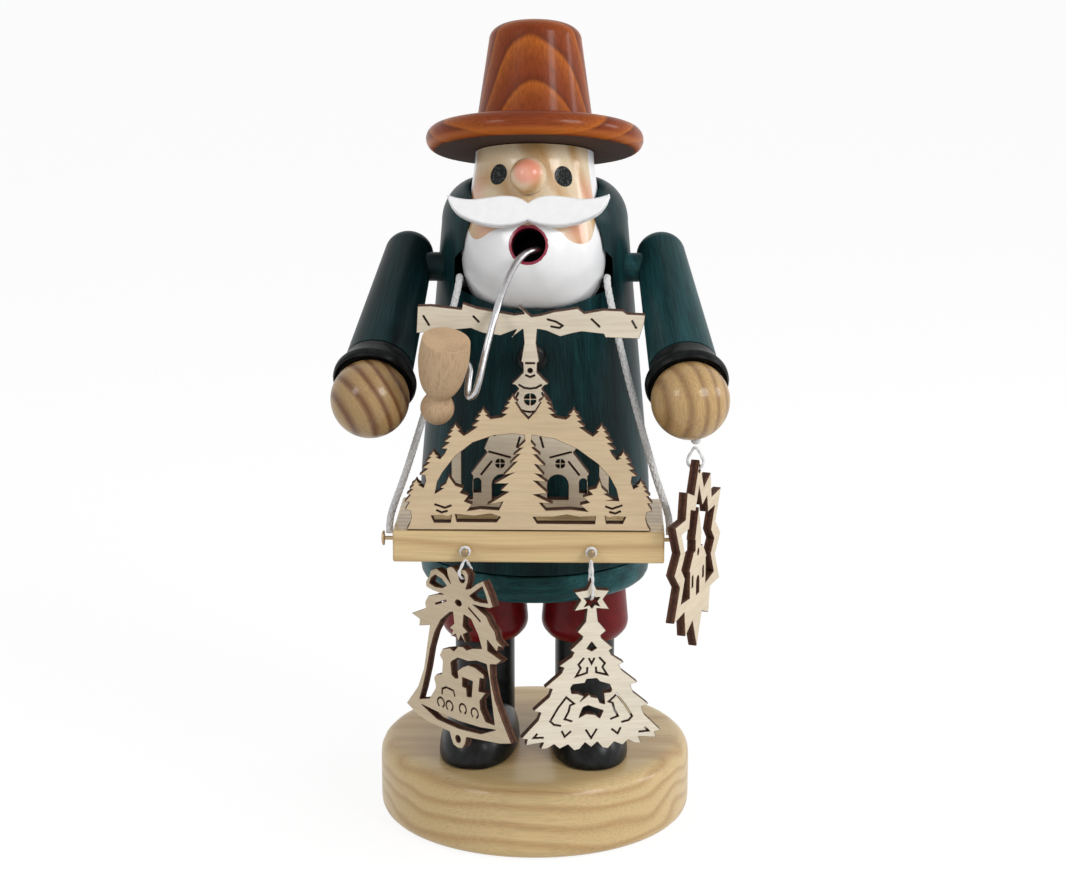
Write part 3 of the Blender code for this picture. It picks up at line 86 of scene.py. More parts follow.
BASE_LOW, BASE_SIZE = extent("base_disc")
HEM_LOW, HEM_SIZE = extent("hem_disc")
COAT_LOW, COAT_SIZE = extent("coat_body")
TRAY_LOW, TRAY_SIZE = extent("tray_board")
BOOT_LOW, BOOT_SIZE = extent("left_boot_shaft")
BELL_LOW, BELL_SIZE = extent("left_trouser_bell")
SHOE_LOW, _ = extent("left_shoe")
DISH_LOW, DISH_SIZE = extent("incense_dish")

LEG_X = BOOT_LOW[0] + BOOT_SIZE[0] / 2.0
BASE_TOP = BASE_LOW[2] + BASE_SIZE[2]
HEM_Z = HEM_LOW[2]
COAT_Z = COAT_LOW[2]
TRAY_TOP = TRAY_LOW[2] + TRAY_SIZE[2]
TRAY_FRONT = TRAY_LOW[1]


def length(name, text, default):
    return FloatProperty(name=name, description=text, default=default * MM, min=0.0,
                         precision=5, unit="LENGTH", subtype="DISTANCE")


def colour(name, text, *rgb):
    return FloatVectorProperty(name=name, description=text, default=rgb, size=3, min=0.0,
                               max=1.0, subtype="COLOR")


class SmokerSizes(bpy.types.PropertyGroup):
    base_radius: length("Base radius", "Radius of the round base", BASE_SIZE[0] / 2.0)
    base_edge: length("Base edge", "Round of the base's two edges", 5.2)
    coat_shoulder: length("Shoulder radius", "Radius of the coat where its dome starts", 25.1)
    coat_crown: length("Dome flat", "Radius of the flatter top of the coat's dome", 15.0)
    chamber: length("Chamber radius", "Radius of the hollow over the incense dish", 20.0)
    head_length: length("Head length", "Height of the head from the neck to the hat", 44.3)
    forehead: length("Forehead radius", "Radius of the head under the hat", 15.7)
    beard: length("Beard radius", "Widest radius of the beard", 19.2)
    chin: length("Chin radius", "Radius of the beard's flat underside", 8.2)
    brim: length("Brim radius", "Radius of the hat's brim", 29.0)
    crown: length("Crown height", "Height of the hat's crown above the brim", 28.3)
    hand: length("Hand radius", "Radius of the ball hands", 10.05)
    cuff: length("Cuff radius", "Radius of the cuff's front ring", 10.8)
    cord: length("Cord radius", "Radius of the braided neck cord", 0.95)
    string: length("String radius", "Radius of the strings that hold the ornaments", 0.4)
    wire: length("Wire radius", "Radius of the pipe's wire stem", 0.9)
    facets: IntProperty(name="Facets", description="Facets round a turned piece",
                        default=128, min=16, max=256)


class SmokerColours(bpy.types.PropertyGroup):
    pine: colour("Pine", "Early wood of the varnished pine", 0.66, 0.485, 0.24)
    pine_late: colour("Pine, late wood", "Dark rings of the varnished pine", 0.42, 0.235, 0.09)
    pale: colour("Face wood", "Varnished pale wood of the face", 0.76, 0.61, 0.41)
    pale_late: colour("Face wood, late", "Dark rings of the face's wood", 0.52, 0.30, 0.11)
    beech: colour("Raw beech", "Bare wood of the pipe's bowl", 0.53, 0.37, 0.225)
    hand: colour("Hand wood", "Early wood of the ball hands", 0.49, 0.315, 0.135)
    hand_late: colour("Hand wood, late", "Dark rings of the ball hands", 0.15, 0.056, 0.018)
    ply: colour("Birch ply", "Face of the palest plywood", 0.76, 0.69, 0.565)
    ply_warm: colour("Birch ply, warm", "Face of the warmest plywood", 0.60, 0.465, 0.30)
    scorch: colour("Scorched edge", "Burnt edge of the cut plywood", 0.055, 0.022, 0.012)
    green: colour("Green stain", "Dark green-blue stain of the coat", 0.006, 0.027, 0.030)
    hat: colour("Hat stain", "Red-brown stain of the hat", 0.225, 0.042, 0.009)
    hat_light: colour("Hat stain, light", "Where the stain took less", 0.44, 0.115, 0.014)
    # Painted shade: the dark colour under the brim stands in for its shade
    hat_under_shade: colour("Hat, underside", "Dull wood under the brim", 0.070, 0.042, 0.033)
    black: colour("Black lacquer", "Boots, cuffs and button", 0.008, 0.009, 0.009)
    red: colour("Red lacquer", "Trousers", 0.150, 0.006, 0.008)
    white: colour("White lacquer", "Beard, hair and moustache", 0.88, 0.88, 0.89)
    blush: colour("Blush", "Pink of the nose and cheeks", 0.78, 0.25, 0.19)
    mouth: colour("Mouth ring", "Paint round the mouth", 0.27, 0.004, 0.034)
    thread: colour("Cord", "White cord and string", 0.74, 0.74, 0.74)
    metal: colour("Wire", "Aluminium wire", 0.50, 0.50, 0.51)
    brass: colour("Dish", "Stamped dish for the cone", 0.62, 0.44, 0.17)
    nail: colour("Nails", "Small nails", 0.30, 0.22, 0.13)
    floor: colour("Floor", "Plain pale floor", 0.86, 0.86, 0.86)


class SmokerStage(bpy.types.PropertyGroup):
    distance: FloatProperty(name="Distance", description="Camera to the figure's axis",
                            default=0.65, unit="LENGTH", subtype="DISTANCE")
    height: FloatProperty(name="Height", description="Camera above the floor", default=0.2613,
                          unit="LENGTH", subtype="DISTANCE")
    aside: FloatProperty(name="Aside", description="Camera moved sideways in its own frame",
                         default=-0.00054, unit="LENGTH", subtype="DISTANCE")
    azimuth: FloatProperty(name="Azimuth", description="Camera turned round the figure",
                           default=1.5 * DEG, unit="ROTATION", subtype="ANGLE")
    pitch: FloatProperty(name="Pitch", description="Camera tipped down",
                         default=13.38 * DEG, unit="ROTATION", subtype="ANGLE")
    lens: FloatProperty(name="Focal length", description="For a sensor 36 mm wide",
                        default=81.83, subtype="NONE")
    key: FloatProperty(name="Key light", description="Power of the big front light, in watts",
                       default=4.3, min=0.0)
    rim: FloatProperty(name="Side lights", description="Power of each side light, in watts",
                       default=1.8, min=0.0)
    sky: FloatProperty(name="Sky", description="Strength of the even light all round",
                       default=0.46, min=0.0)


def sizes():
    return bpy.context.scene.smoker_sizes


def colours():
    return bpy.context.scene.smoker_colours


def mm(name):
    """A size of the figure, in millimetres."""
    return getattr(sizes(), name) / MM


# Places: a rotation and an origin in millimetres

HOME = (np.eye(3), np.zeros(3))


def spin(degrees, axis):
    return Matrix.Rotation(degrees * DEG, 3, axis)


def place(origin, matrix=None):
    turn = np.eye(3) if matrix is None else np.array(matrix.to_3x3())
    return turn, np.array(origin, float)


def along(origin, direction):
    """Place whose +Z runs along a direction."""
    turn = Vector((0.0, 0.0, 1.0)).rotation_difference(Vector(direction)).to_matrix()
    return place(origin, turn)


def put(points, where):
    turn, origin = where
    return points @ turn.T + origin


def inner(where, origin, matrix=None):
    """A place given inside another place."""
    turn, start = where
    low = place(origin, matrix)
    return turn @ low[0], turn @ low[1] + start


def axes(where):
    """Rotation of a place as Blender's matrix."""
    return Matrix(where[0].tolist())


UPRIGHT = spin(90.0, "Y")
HEAD_CUT = 1.5
HEAD_TILT = 16.0
HEAD_TURN = 3.0
CROWN_LEAN = 7.0
HEAD = place((0.0, -3.5, 187.1), spin(-HEAD_TILT, "X") @ spin(-HEAD_TURN, "Z"))


# Meshes

def merged(mesh, reach=1e-6, outward=False):
    """Joins points that lie on each other, at poles, seams and corners."""
    work = bmesh.new()
    work.from_mesh(mesh)
    bmesh.ops.remove_doubles(work, verts=work.verts, dist=reach)
    if outward:
        bmesh.ops.recalc_face_normals(work, faces=work.faces)
    work.to_mesh(mesh)
    work.free()
    return mesh


def smooth(mesh):
    mesh.shade_smooth()
    mesh.set_sharp_from_angle(angle=SHARP)
    return mesh


def linked(name, data, home=None):
    """New object in the scene, untransformed."""
    item = bpy.data.objects.new(name, data)
    (home or bpy.context.collection).objects.link(item)
    return item


def evaluated(item):
    """Mesh of an object as its curve or its modifiers make it."""
    return bpy.data.meshes.new_from_object(
        item.evaluated_get(bpy.context.evaluated_depsgraph_get()))


def read(items, key, width, kind=float):
    """A value of a mesh's points, faces or corners, with a row for each."""
    flat = np.zeros(len(items) * width, kind)
    items.foreach_get(key, flat)
    return flat.reshape(-1, width)


def turns(count):
    """Angles of a whole turn in even steps."""
    return np.linspace(0.0, 2.0 * np.pi, count, endpoint=False)


def ways(path):
    """Way along a path to each of its points."""
    return np.concatenate([[0.0], np.cumsum(np.linalg.norm(np.diff(path, axis=0), axis=1))])


def surface_map(facets, way):
    """u is the share of a turn, and v the way in decimetres."""
    return np.stack(np.meshgrid(np.linspace(0.0, 1.0, facets + 1), way / 100.0), -1)


def skin(name, points, uv, close_rows=False):
    """Skin over a grid of points (rows, columns, 3) in millimetres. Each row closes on its
    first point, and the last row may close on the first. uv has one more row and column."""
    rows, columns = points.shape[:2]
    i, j = np.meshgrid(np.arange(rows if close_rows else rows - 1), np.arange(columns),
                       indexing="ij")
    i, j = i.ravel(), j.ravel()
    i2 = (i + 1) % rows
    j2 = (j + 1) % columns
    quads = np.stack([i * columns + j, i * columns + j2, i2 * columns + j2, i2 * columns + j], 1)
    mesh = bpy.data.meshes.new(name)
    mesh.from_pydata((points.reshape(-1, 3) * MM).tolist(), [], quads.tolist())
    corners = np.stack([uv[i, j], uv[i, j + 1], uv[i + 1, j + 1], uv[i + 1, j]], 1)
    mesh.uv_layers.new(name="surface").data.foreach_set("uv", corners.ravel())
    return smooth(merged(mesh))


def eased(corners, closed=False, ease=None):
    """Outline with its corners rounded. A corner is (x, z) or (x, z, ease): the runs beside it
    stop at the distance ease, and the parabola (1-t)^2 a + 2 t (1-t) c + t^2 b joins them. On
    long runs a support point beside the curve keeps the shading of the run flat."""
    points = np.array([corner[:2] for corner in corners], float)
    reach = [corner[2] if len(corner) > 2 else (ease or 0.0) for corner in corners]
    t = np.linspace(0.0, 1.0, EASE_STEPS)[:, None]
    parts = []
    last = len(points) - 1
    for k, corner in enumerate(points):
        if reach[k] == 0.0 or (not closed and k in (0, last)):
            parts.append(corner[None])
            continue
        back = points[k - 1] - corner
        ahead = points[(k + 1) % len(points)] - corner
        run_back, run_ahead = np.linalg.norm(back), np.linalg.norm(ahead)
        a = corner + back * min(reach[k] / run_back, 0.5)
        b = corner + ahead * min(reach[k] / run_ahead, 0.5)
        curve = (1.0 - t) ** 2 * a + 2.0 * t * (1.0 - t) * corner + t ** 2 * b
        if ease is None and run_back > 4.0 * reach[k]:
            curve = np.vstack([a + back * 0.5 * reach[k] / run_back, curve])
        if ease is None and run_ahead > 4.0 * reach[k]:
            curve = np.vstack([curve, b + ahead * 0.5 * reach[k] / run_ahead])
        parts.append(curve)
    return np.vstack(parts)


def turned(name, profile, where=HOME, closed=False, facets=None):
    """Surface of revolution: (r cos a, r sin a, z) for the profile's points (r, z), which run
    up the outer side, and the angle a, which starts at the back. u is the turn, 0.5 at the
    front, and v the way along the profile in decimetres."""
    facets = facets or sizes().facets
    profile = np.asarray(profile, float)
    angle = 90.0 * DEG + turns(facets)
    radius, height = profile[:, :1], profile[:, 1:]
    points = np.stack([radius * np.cos(angle), radius * np.sin(angle),
                       height + 0.0 * angle], -1)
    way = ways(np.vstack([profile, profile[:1]]))
    return skin(name, put(points, where), surface_map(facets, way), closed)


def arc(x, z, radius, start, end, steps=10, tall=None):
    """Points on a circle, or on an ellipse where tall is given, between two angles in degrees."""
    angle = np.linspace(start, end, steps + 1) * DEG
    return [(x + radius * c, z + (tall or radius) * s)
            for c, s in zip(np.cos(angle), np.sin(angle))]


def cut_sheet(name, loops, thickness, where, lip=0.13):
    """Flat piece cut from a sheet: a filled outline with its holes in the XZ plane, as thick
    as the sheet, with a narrow chamfer as wide as the lip. Its three finishes are for the
    face, the chamfer and the edge."""
    curve = bpy.data.curves.new(name, "CURVE")
    curve.dimensions = "2D"
    curve.fill_mode = "BOTH"
    curve.extrude = (thickness / 2.0 - lip) * MM
    curve.bevel_depth = lip * MM
    curve.bevel_resolution = 0
    curve.offset = -lip * MM
    for loop in loops:
        spline = curve.splines.new("POLY")
        spline.points.add(len(loop) - 1)
        flat = np.zeros((len(loop), 4))
        flat[:, :2] = np.asarray(loop)[:, :2] * MM
        flat[:, 3] = 1.0
        spline.points.foreach_set("co", flat.ravel())
        spline.use_cyclic_u = True
    holder = linked(name, curve)
    mesh = evaluated(holder)
    bpy.data.objects.remove(holder)
    bpy.data.curves.remove(curve)
    merged(mesh, 2e-7, outward=True)
    flat = read(mesh.vertices, "co", 3) / MM
    upright = np.stack([flat[:, 0], -flat[:, 2], flat[:, 1]], -1)
    lean = np.abs(read(mesh.polygons, "normal", 3)[:, 2])
    kinds = np.where(lean > FACE_LEAN, 0, np.where(lean > LIP_LEAN, 1, 2)).astype(np.int32)
    mesh.polygons.foreach_set("material_index", kinds)
    mesh.vertices.foreach_set("co", (put(upright, where) * MM).ravel())
    mesh.update()
    mesh.name = name
    return smooth(mesh)


def carve(mesh, *tools):
    """Takes the tools' shapes out of a piece. The cut faces keep the tools' finishes."""
    body = linked("work_" + mesh.name, mesh)
    spent = [body]
    for tool in tools:
        item = linked("tool_" + tool.name, tool)
        spent.append(item)
        change = body.modifiers.new(item.name, "BOOLEAN")
        change.operation = "DIFFERENCE"
        change.solver = "EXACT"
        change.material_mode = "TRANSFER"
        change.object = item
    bpy.context.view_layer.update()
    done = evaluated(body)
    done.name = mesh.name
    for item in spent:
        bpy.data.objects.remove(item)
    return smooth(done)


def follow(route, steps):
    """Catmull-Rom curve through the route's points, with even steps between them."""
    route = np.asarray(route, float)
    padded = np.vstack([2.0 * route[0] - route[1], route, 2.0 * route[-1] - route[-2]])
    t = (np.arange(steps) / steps)[:, None, None]
    p0, p1, p2, p3 = padded[:-3], padded[1:-2], padded[2:-1], padded[3:]
    curve = 0.5 * (2.0 * p1 + (p2 - p0) * t + (2.0 * p0 - 5.0 * p1 + 4.0 * p2 - p3) * t ** 2
                   + (3.0 * p1 - p0 - 3.0 * p2 + p3) * t ** 3)
    return np.vstack([curve.transpose(1, 0, 2).reshape(-1, 3), route[-1:]])


def even(path, step):
    """The same path with points an even step apart, measured along it."""
    way = ways(path)
    count = max(int(round(way[-1] / step)), 4)
    marks = np.linspace(0.0, way[-1], count + 1)
    return np.stack([np.interp(marks, way, path[:, k]) for k in range(3)], -1), marks


def tube(name, path, radius, relief=None, step=0.15, round_facets=24, closed=False):
    """Profile carried along a path: centre + r (n cos a + b sin a), where n and b are carried
    from ring to ring square to the path. relief(a, s) gives r as a share of the radius, for
    the angle a and the way s along the path in millimetres."""
    path, way = even(np.asarray(path, float), step)
    if closed:
        path, way = path[:-1], way[:-1]
        ahead = np.roll(path, -1, axis=0) - np.roll(path, 1, axis=0)
    else:
        ahead = np.gradient(path, axis=0)
    ahead /= np.linalg.norm(ahead, axis=1)[:, None]
    side = np.cross(ahead[0], FIRST_SIDE)
    frames = []
    for direction in ahead:
        side = side - direction * (side @ direction)
        side /= np.linalg.norm(side)
        frames.append(side)
    n = np.array(frames)[:, None]
    b = np.cross(ahead, n[:, 0])[:, None]
    angle = turns(round_facets)
    share = 1.0 if relief is None else relief(angle[None], way[:, None])
    r = (radius * share * np.ones((len(way), round_facets)))[..., None]
    wheel = n * np.cos(angle)[None, :, None] + b * np.sin(angle)[None, :, None]
    points = path[:, None] + r * wheel
    uv = surface_map(round_facets, np.append(way, way[-1] + step))
    if not closed:
        points = np.concatenate([path[:1, None] + 0.0 * points[:1], points,
                                 path[-1:, None] + 0.0 * points[-1:]])
        uv = np.concatenate([uv[:1], uv, uv[-1:]])
    return skin(name, points, uv, closed)


def braid(angle, way):
    """Round braid: strands run both ways round the cord, and each bulges where it is on top."""
    u = (STRANDS * angle / np.pi + way / BRAID_PITCH) / 2.0
    v = (STRANDS * angle / np.pi - way / BRAID_PITCH) / 2.0
    over = (np.floor(u) + np.floor(v)) % 2.0 < 1.0
    bulge = np.where(over, np.sin(np.pi * (u % 1.0)), np.sin(np.pi * (v % 1.0)))
    return 0.74 + 0.26 * np.abs(bulge)


def twist(angle, way):
    """Two-ply thread: the section is a rounded figure of eight that turns along the way."""
    return 0.84 + 0.16 * np.cos(2.0 * (angle - np.pi * way / THREAD_PITCH))


def wound(angle, way):
    """Thread wound round and round: shallow grooves that cross the way at a slant."""
    return 0.93 + 0.07 * np.cos(angle + 2.0 * np.pi * way / WOUND_PITCH)


def add(mesh, body, nodes, slot, *finishes):
    """Puts a finished mesh in the scene, on its body, in place of its solids."""
    item = linked(mesh.name, mesh)
    for index, finish in enumerate(finishes):
        if index < len(mesh.materials):
            mesh.materials[index] = finish
        else:
            mesh.materials.append(finish)
    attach(item, body)
    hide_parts(*nodes)
    return item


def dress(made, *names):
    """Gives a finish to solids that stay as they are."""
    for name in names:
        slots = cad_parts[name].data.materials
        slots.clear()
        slots.append(made)


# Finishes

class Nodes:
    """Short way to write a tree of shader nodes. Positions are in millimetres."""

    def __init__(self, tree):
        self.tree = tree

    def node(self, kind, inputs=(), **settings):
        item = self.tree.nodes.new("ShaderNode" + kind)
        for key, value in settings.items():
            setattr(item, key, value)
        for key, value in enumerate(inputs):
            self.feed(item.inputs[key], value)
        return item

    def feed(self, socket, value):
        if isinstance(value, bpy.types.NodeSocket):
            self.tree.links.new(value, socket)
        elif value is not None:
            socket.default_value = value

    def math(self, operation, *values):
        return self.node("Math", values, operation=operation).outputs[0]

    def vector(self, operation, *values):
        return self.node("VectorMath", values, operation=operation).outputs["Vector"]

    def length(self, value):
        return self.node("VectorMath", (value,), operation="LENGTH").outputs["Value"]

    def split(self, value):
        return self.node("SeparateXYZ", (value,)).outputs

    def position(self, origin=(0.0, 0.0, 0.0), turn=None):
        """Position on the piece in millimetres, from an origin, in turned axes."""
        turn = turn or Matrix.Identity(3)
        item = self.node("Mapping")
        self.feed(item.inputs["Vector"], self.node("TexCoord").outputs["Object"])
        item.inputs["Scale"].default_value = (1.0 / MM,) * 3
        item.inputs["Rotation"].default_value = turn.transposed().to_euler()
        item.inputs["Location"].default_value = -(turn.transposed() @ Vector(origin))
        return item.outputs[0]

    def surface(self):
        """The piece's own surface map: turn from the front in degrees, way in millimetres."""
        u, v, _ = self.split(self.node("UVMap", uv_map="surface").outputs[0])
        turn = self.math("MULTIPLY_ADD", u, 360.0, -180.0)
        return turn, self.math("MULTIPLY", v, 100.0)

    def noise(self, at, scale, detail=2.0):
        """Noise from 0 to 1, with one scale, or one for each axis."""
        scale = scale if isinstance(scale, tuple) else (scale,) * 3
        drawn = self.vector("MULTIPLY", at, scale)
        return self.node("TexNoise", (drawn, None, 1.0, detail, 0.5)).outputs[0]

    def ramp(self, share, *stops):
        item = self.node("ValToRGB", (share,))
        band = item.color_ramp
        while len(band.elements) < len(stops):
            band.elements.new(0.5)
        for element, (at, rgb) in zip(band.elements, stops):
            element.position = at
            element.color = (*rgb, 1.0)
        return item.outputs[0]

    def step(self, value, low, high):
        """0 below low, 1 above high, and smooth between them. It falls where low > high."""
        item = self.node("MapRange", interpolation_type="SMOOTHSTEP")
        for key, part in zip(("Value", "From Min", "From Max"), (value, low, high)):
            self.feed(item.inputs[key], part)
        return item.outputs[0]

    def mix(self, share, a, b, blend="MIX"):
        item = self.node("Mix", data_type="RGBA", blend_type=blend)
        for key, part in zip((0, 6, 7), (share, a, b)):
            rgb = part if isinstance(part, (bpy.types.NodeSocket, float)) else (*part[:3], 1.0)
            self.feed(item.inputs[key], rgb)
        return item.outputs[2]

    def tinted(self, base, tone):
        return self.mix(1.0, base, tone, "MULTIPLY")

    def bump(self, height, distance):
        item = self.node("Bump")
        self.feed(item.inputs["Height"], height)
        item.inputs["Distance"].default_value = distance * MM
        return item.outputs[0]


class Finish(Nodes):
    """One material."""

    def __init__(self, name):
        self.made = bpy.data.materials.new(name)
        self.made.use_nodes = True
        super().__init__(self.made.node_tree)
        self.shader = self.tree.nodes["Principled BSDF"]

    def done(self, base, roughness, coat=0.0, coat_roughness=0.08, metallic=0.0, normal=None,
             specular=0.5):
        rgb = base if isinstance(base, bpy.types.NodeSocket) else (*base[:3], 1.0)
        for key, value in (("Base Color", rgb), ("Roughness", roughness),
                           ("Coat Weight", coat), ("Coat Roughness", coat_roughness),
                           ("Metallic", metallic), ("Normal", normal),
                           ("Specular IOR Level", specular)):
            self.feed(self.shader.inputs[key], value)
        return self.made


def shade(rgb, factor):
    return tuple(min(part * factor, 1.0) for part in rgb)


def blend(a, b, share):
    return tuple(x + (y - x) * share for x, y in zip(a, b))


def rings(t, at, bend, ring, wobble, phase=0.0):
    """Share of the way through a year's ring. The trunk lies along the local X axis: the
    distance from it, bent by a slow noise, counts the rings."""
    slow = t.noise(at, (bend, 0.05, 0.05), 1.0)
    bent = t.math("MULTIPLY_ADD", slow, wobble, phase)
    out = t.length(t.vector("MULTIPLY", at, (0.0, 1.0, 1.0)))
    return t.math("FRACT", t.math("MULTIPLY_ADD", out, 1.0 / ring, bent))


def wood(t, early, late, origin, turn, ring, wobble, fibre):
    """Cut wood with its rings, and with fine fibres that run along the trunk. The rings are
    ring millimetres apart, wobble rings out of true, and fibre is how dark the fibres are."""
    at = t.position(origin, turn)
    band = t.ramp(rings(t, at, 0.011, ring, wobble), (0.0, early),
                  (0.38, blend(early, late, 0.12)), (0.72, late),
                  (0.84, blend(early, late, 0.75)), (1.0, early))
    fine = t.noise(at, (0.07, 2.6, 2.6), 3.0)
    tone = t.ramp(fine, (0.25, (1.0 - fibre,) * 3), (0.6, PLAIN))
    return t.tinted(band, tone), fine


def pine(name, early, late, origin, turn, ring, wobble, fibre, coat=0.5):
    """Varnished pine from the colours of its early and late wood."""
    t = Finish(name)
    base, fine = wood(t, early, late, origin, turn, ring, wobble, fibre)
    return t.done(base, 0.42, coat, 0.12, normal=t.bump(fine, 0.03), specular=0.25)


def stained(name, origin, turn, depth=1.0):
    """Green-blue stain that lets the fibres show as streaks, under a satin varnish."""
    t = Finish(name)
    # depth scales the stain's colour; for the hem and the sleeves it paints light and shade into
    # it
    green = shade(colours().green, depth)
    at = t.position(origin, turn)
    broad = t.noise(at, (0.012, 0.22, 0.22))
    fine = t.noise(at, (0.05, 2.4, 2.4), 3.0)
    base = t.ramp(broad, (0.30, shade(green, 0.55)), (0.52, green), (0.72, shade(green, 1.7)))
    tone = t.ramp(fine, (0.30, (0.60, 0.60, 0.60)), (0.68, (1.3, 1.3, 1.3)))
    return t.done(t.tinted(base, tone), 0.38, 0.03, 0.20,
                  normal=t.bump(fine, 0.04), specular=0.09)


def hat_stain(t, at, ring, wobble, phase):
    """Red-brown stain over rings: light where the early wood took more of it, and then over
    brown to a dark line."""
    c = colours()
    band = t.ramp(rings(t, at, 0.02, ring, wobble, phase), (0.0, c.hat_light),
                  (0.16, blend(c.hat_light, c.hat, 0.45)), (0.40, blend(c.hat_light, c.hat, 0.8)),
                  (0.72, c.hat), (0.90, shade(c.hat, 0.7)), (1.0, c.hat_light))
    fine = t.noise(at, (0.06, 2.0, 2.0), 3.0)
    tone = t.ramp(fine, (0.3, (0.72, 0.68, 0.66)), (0.62, PLAIN))
    return t.tinted(band, tone), fine


def crown_stain():
    """The trunk leans a little forward behind the crown, so that its rings make arches there."""
    t = Finish("crown_stain")
    turn = axes(HEAD) @ spin(CROWN_LEAN, "X") @ UPRIGHT
    at = t.position(inner(HEAD, (-2.0, 25.0, 0.0))[1], turn)
    base, fine = hat_stain(t, at, 3.4, 1.1, 0.55)
    return t.done(base, 0.36, 0.14, 0.10, normal=t.bump(fine, 0.02), specular=0.08)


def brim_stain():
    """The same stain with the rings across the brim: dull below, with painted shade there, and
    with a painted highlight, a light line round the lower edge."""
    t = Finish("brim_stain")
    c = colours()
    at = t.position(inner(HEAD, (0.0, 8.0, -38.0))[1], axes(HEAD))
    base, fine = hat_stain(t, at, 5.0, 1.6, 0.0)
    height = t.split(t.position(HEAD[1], axes(HEAD)))[2]
    # Painted highlight: a light band round the rim's lower edge
    line = t.math("MULTIPLY", t.step(height, -1.1, -0.5), t.step(height, 1.3, 0.2))
    base = t.mix(t.math("MULTIPLY", line, 0.55), base, shade(c.hat_light, 1.1))
    # Painted shade: the brim's underside gets a darker, greyer colour
    base = t.mix(t.step(height, -0.9, -1.15), base, c.hat_under_shade)
    shine = t.step(height, -1.15, 0.2)
    return t.done(base, t.math("MULTIPLY_ADD", shine, -0.4, 0.75),
                  t.math("MULTIPLY", shine, 0.16), 0.09, normal=t.bump(fine, 0.02),
                  specular=0.08)


def lacquer(name, rgb, roughness, speck, coat, specular=0.3):
    """Brushed lacquer: a faint mottle and a fine orange-peel bump."""
    t = Finish(name)
    at = t.position()
    mottle = t.noise(at, 0.5, 3.0)
    peel = t.noise(at, 2.2)
    base = t.ramp(mottle, (0.35, shade(rgb, 1.0 - speck)), (0.65, shade(rgb, 1.0 + speck)))
    return t.done(base, roughness, coat, 0.2, normal=t.bump(peel, 0.02), specular=specular)


def raw_wood(name, origin, turn):
    """Bare beech: nearly plain, with short fine flecks along the grain."""
    t = Finish(name)
    c = colours()
    at = t.position(origin, turn)
    fleck = t.noise(at, (0.35, 2.4, 2.4), 3.0)
    broad = t.noise(at, (0.03, 0.12, 0.12), 1.0)
    base = t.ramp(broad, (0.35, shade(c.beech, 0.90)), (0.65, shade(c.beech, 1.06)))
    tone = t.ramp(fleck, (0.30, (0.80, 0.74, 0.68)), (0.52, PLAIN))
    return t.done(t.tinted(base, tone), 0.6, normal=t.bump(fleck, 0.02), specular=0.25)


def ply_finishes(name, where, phase, warm):
    """Face, chamfer and edge of a piece cut from thin plywood. The face's grain runs along its
    width, and the edge is scorched and shows its plies."""
    c = colours()
    ply = blend(c.ply, c.ply_warm, warm)
    face = Finish(name + "_face")
    at = face.vector("ADD", face.position(where[1], axes(where)), (phase, 0.0, phase))
    fine = face.noise(at, (0.12, 1.0, 1.6), 3.0)
    broad = face.noise(at, (0.03, 0.1, 0.22))
    base = face.ramp(broad, (0.35, shade(ply, 0.95)), (0.65, shade(ply, 1.04)))
    tone = face.ramp(fine, (0.35, (0.92, 0.90, 0.87)), (0.6, PLAIN))
    face.done(face.tinted(base, tone), 0.62, normal=face.bump(fine, 0.02), specular=0.25)
    lip = Finish(name + "_lip")
    fleck = lip.noise(lip.position(), 1.5)
    lip.done(lip.ramp(fleck, (0.35, shade(c.scorch, 1.3)), (0.65, blend(c.scorch, ply, 0.18))),
             0.7, specular=0.2)
    edge = Finish(name + "_edge")
    depth = edge.split(edge.position(where[1], axes(where)))[1]
    fleck = edge.noise(edge.position(), 1.2)
    plies = edge.math("PINGPONG", edge.math("ADD", depth, PLY_COUNT_FROM), ONE_PLY)
    stripe = edge.ramp(edge.math("DIVIDE", plies, ONE_PLY), (0.0, shade(c.scorch, 0.7)),
                       (0.5, c.scorch), (1.0, shade(c.scorch, 1.9)))
    tone = edge.ramp(fleck, (0.3, (0.6, 0.6, 0.6)), (0.7, (1.3, 1.3, 1.3)))
    edge.done(edge.tinted(stripe, tone), 0.75, specular=0.2)
    return face.made, lip.made, edge.made


def thread_finish(name):
    t = Finish(name)
    fuzz = t.noise(t.position(), 3.0)
    c = colours().thread
    base = t.ramp(fuzz, (0.3, shade(c, 0.8)), (0.65, shade(c, 1.05)))
    return t.done(base, 0.75, normal=t.bump(fuzz, 0.05))


def metal(name, rgb, roughness):
    t = Finish(name)
    rub = t.noise(t.position(), 0.8, 3.0)
    base = t.ramp(rub, (0.3, shade(rgb, 0.82)), (0.7, shade(rgb, 1.1)))
    return t.done(base, roughness, metallic=1.0, normal=t.bump(rub, 0.01))


# Painted head: turns from the front in degrees, drops below the hat in millimetres

FACE_TRUNK = (30.0, 24.0, 0.0)
FACE_FIBRE = 0.12
EYES = ((-30.2, 9.35), (31.6, 9.95))
EYE_HALF_TURN = 9.1
EYE_HALF_DROP = 2.78
MOUTH_DROP = 28.4
MOUTH_RING = 5.2
MOUTH_BORE = 4.5
MOUTH_STRETCH = 19.2 * DEG
CHEEK_STRETCH = 0.33
CHEEK_REACH = 7.0
BLUSH = 0.42
CHEEKS = ((-36.0, 23.6), (40.0, 23.9), (-58.0, 13.6), (58.0, 14.2))
EDGE_SCALE = 40.0
SKIN_EDGE = ((-90.0, 0.0), (-69.0, 0.2), (-68.2, 19.6), (-63.5, 22.2), (-57.5, 24.4),
             (-52.0, 25.7), (-46.5, 26.2), (-39.5, 25.8), (-32.4, 24.7), (-26.8, 24.1),
             (-17.2, 23.8), (0.0, 23.4), (13.0, 23.5), (21.9, 24.3), (26.8, 25.2),
             (31.9, 26.6), (37.3, 27.4), (43.1, 27.6), (49.5, 27.2), (55.0, 26.1),
             (59.0, 24.2), (62.6, 21.8), (66.2, 18.8), (67.0, 0.2), (90.0, 0.0))


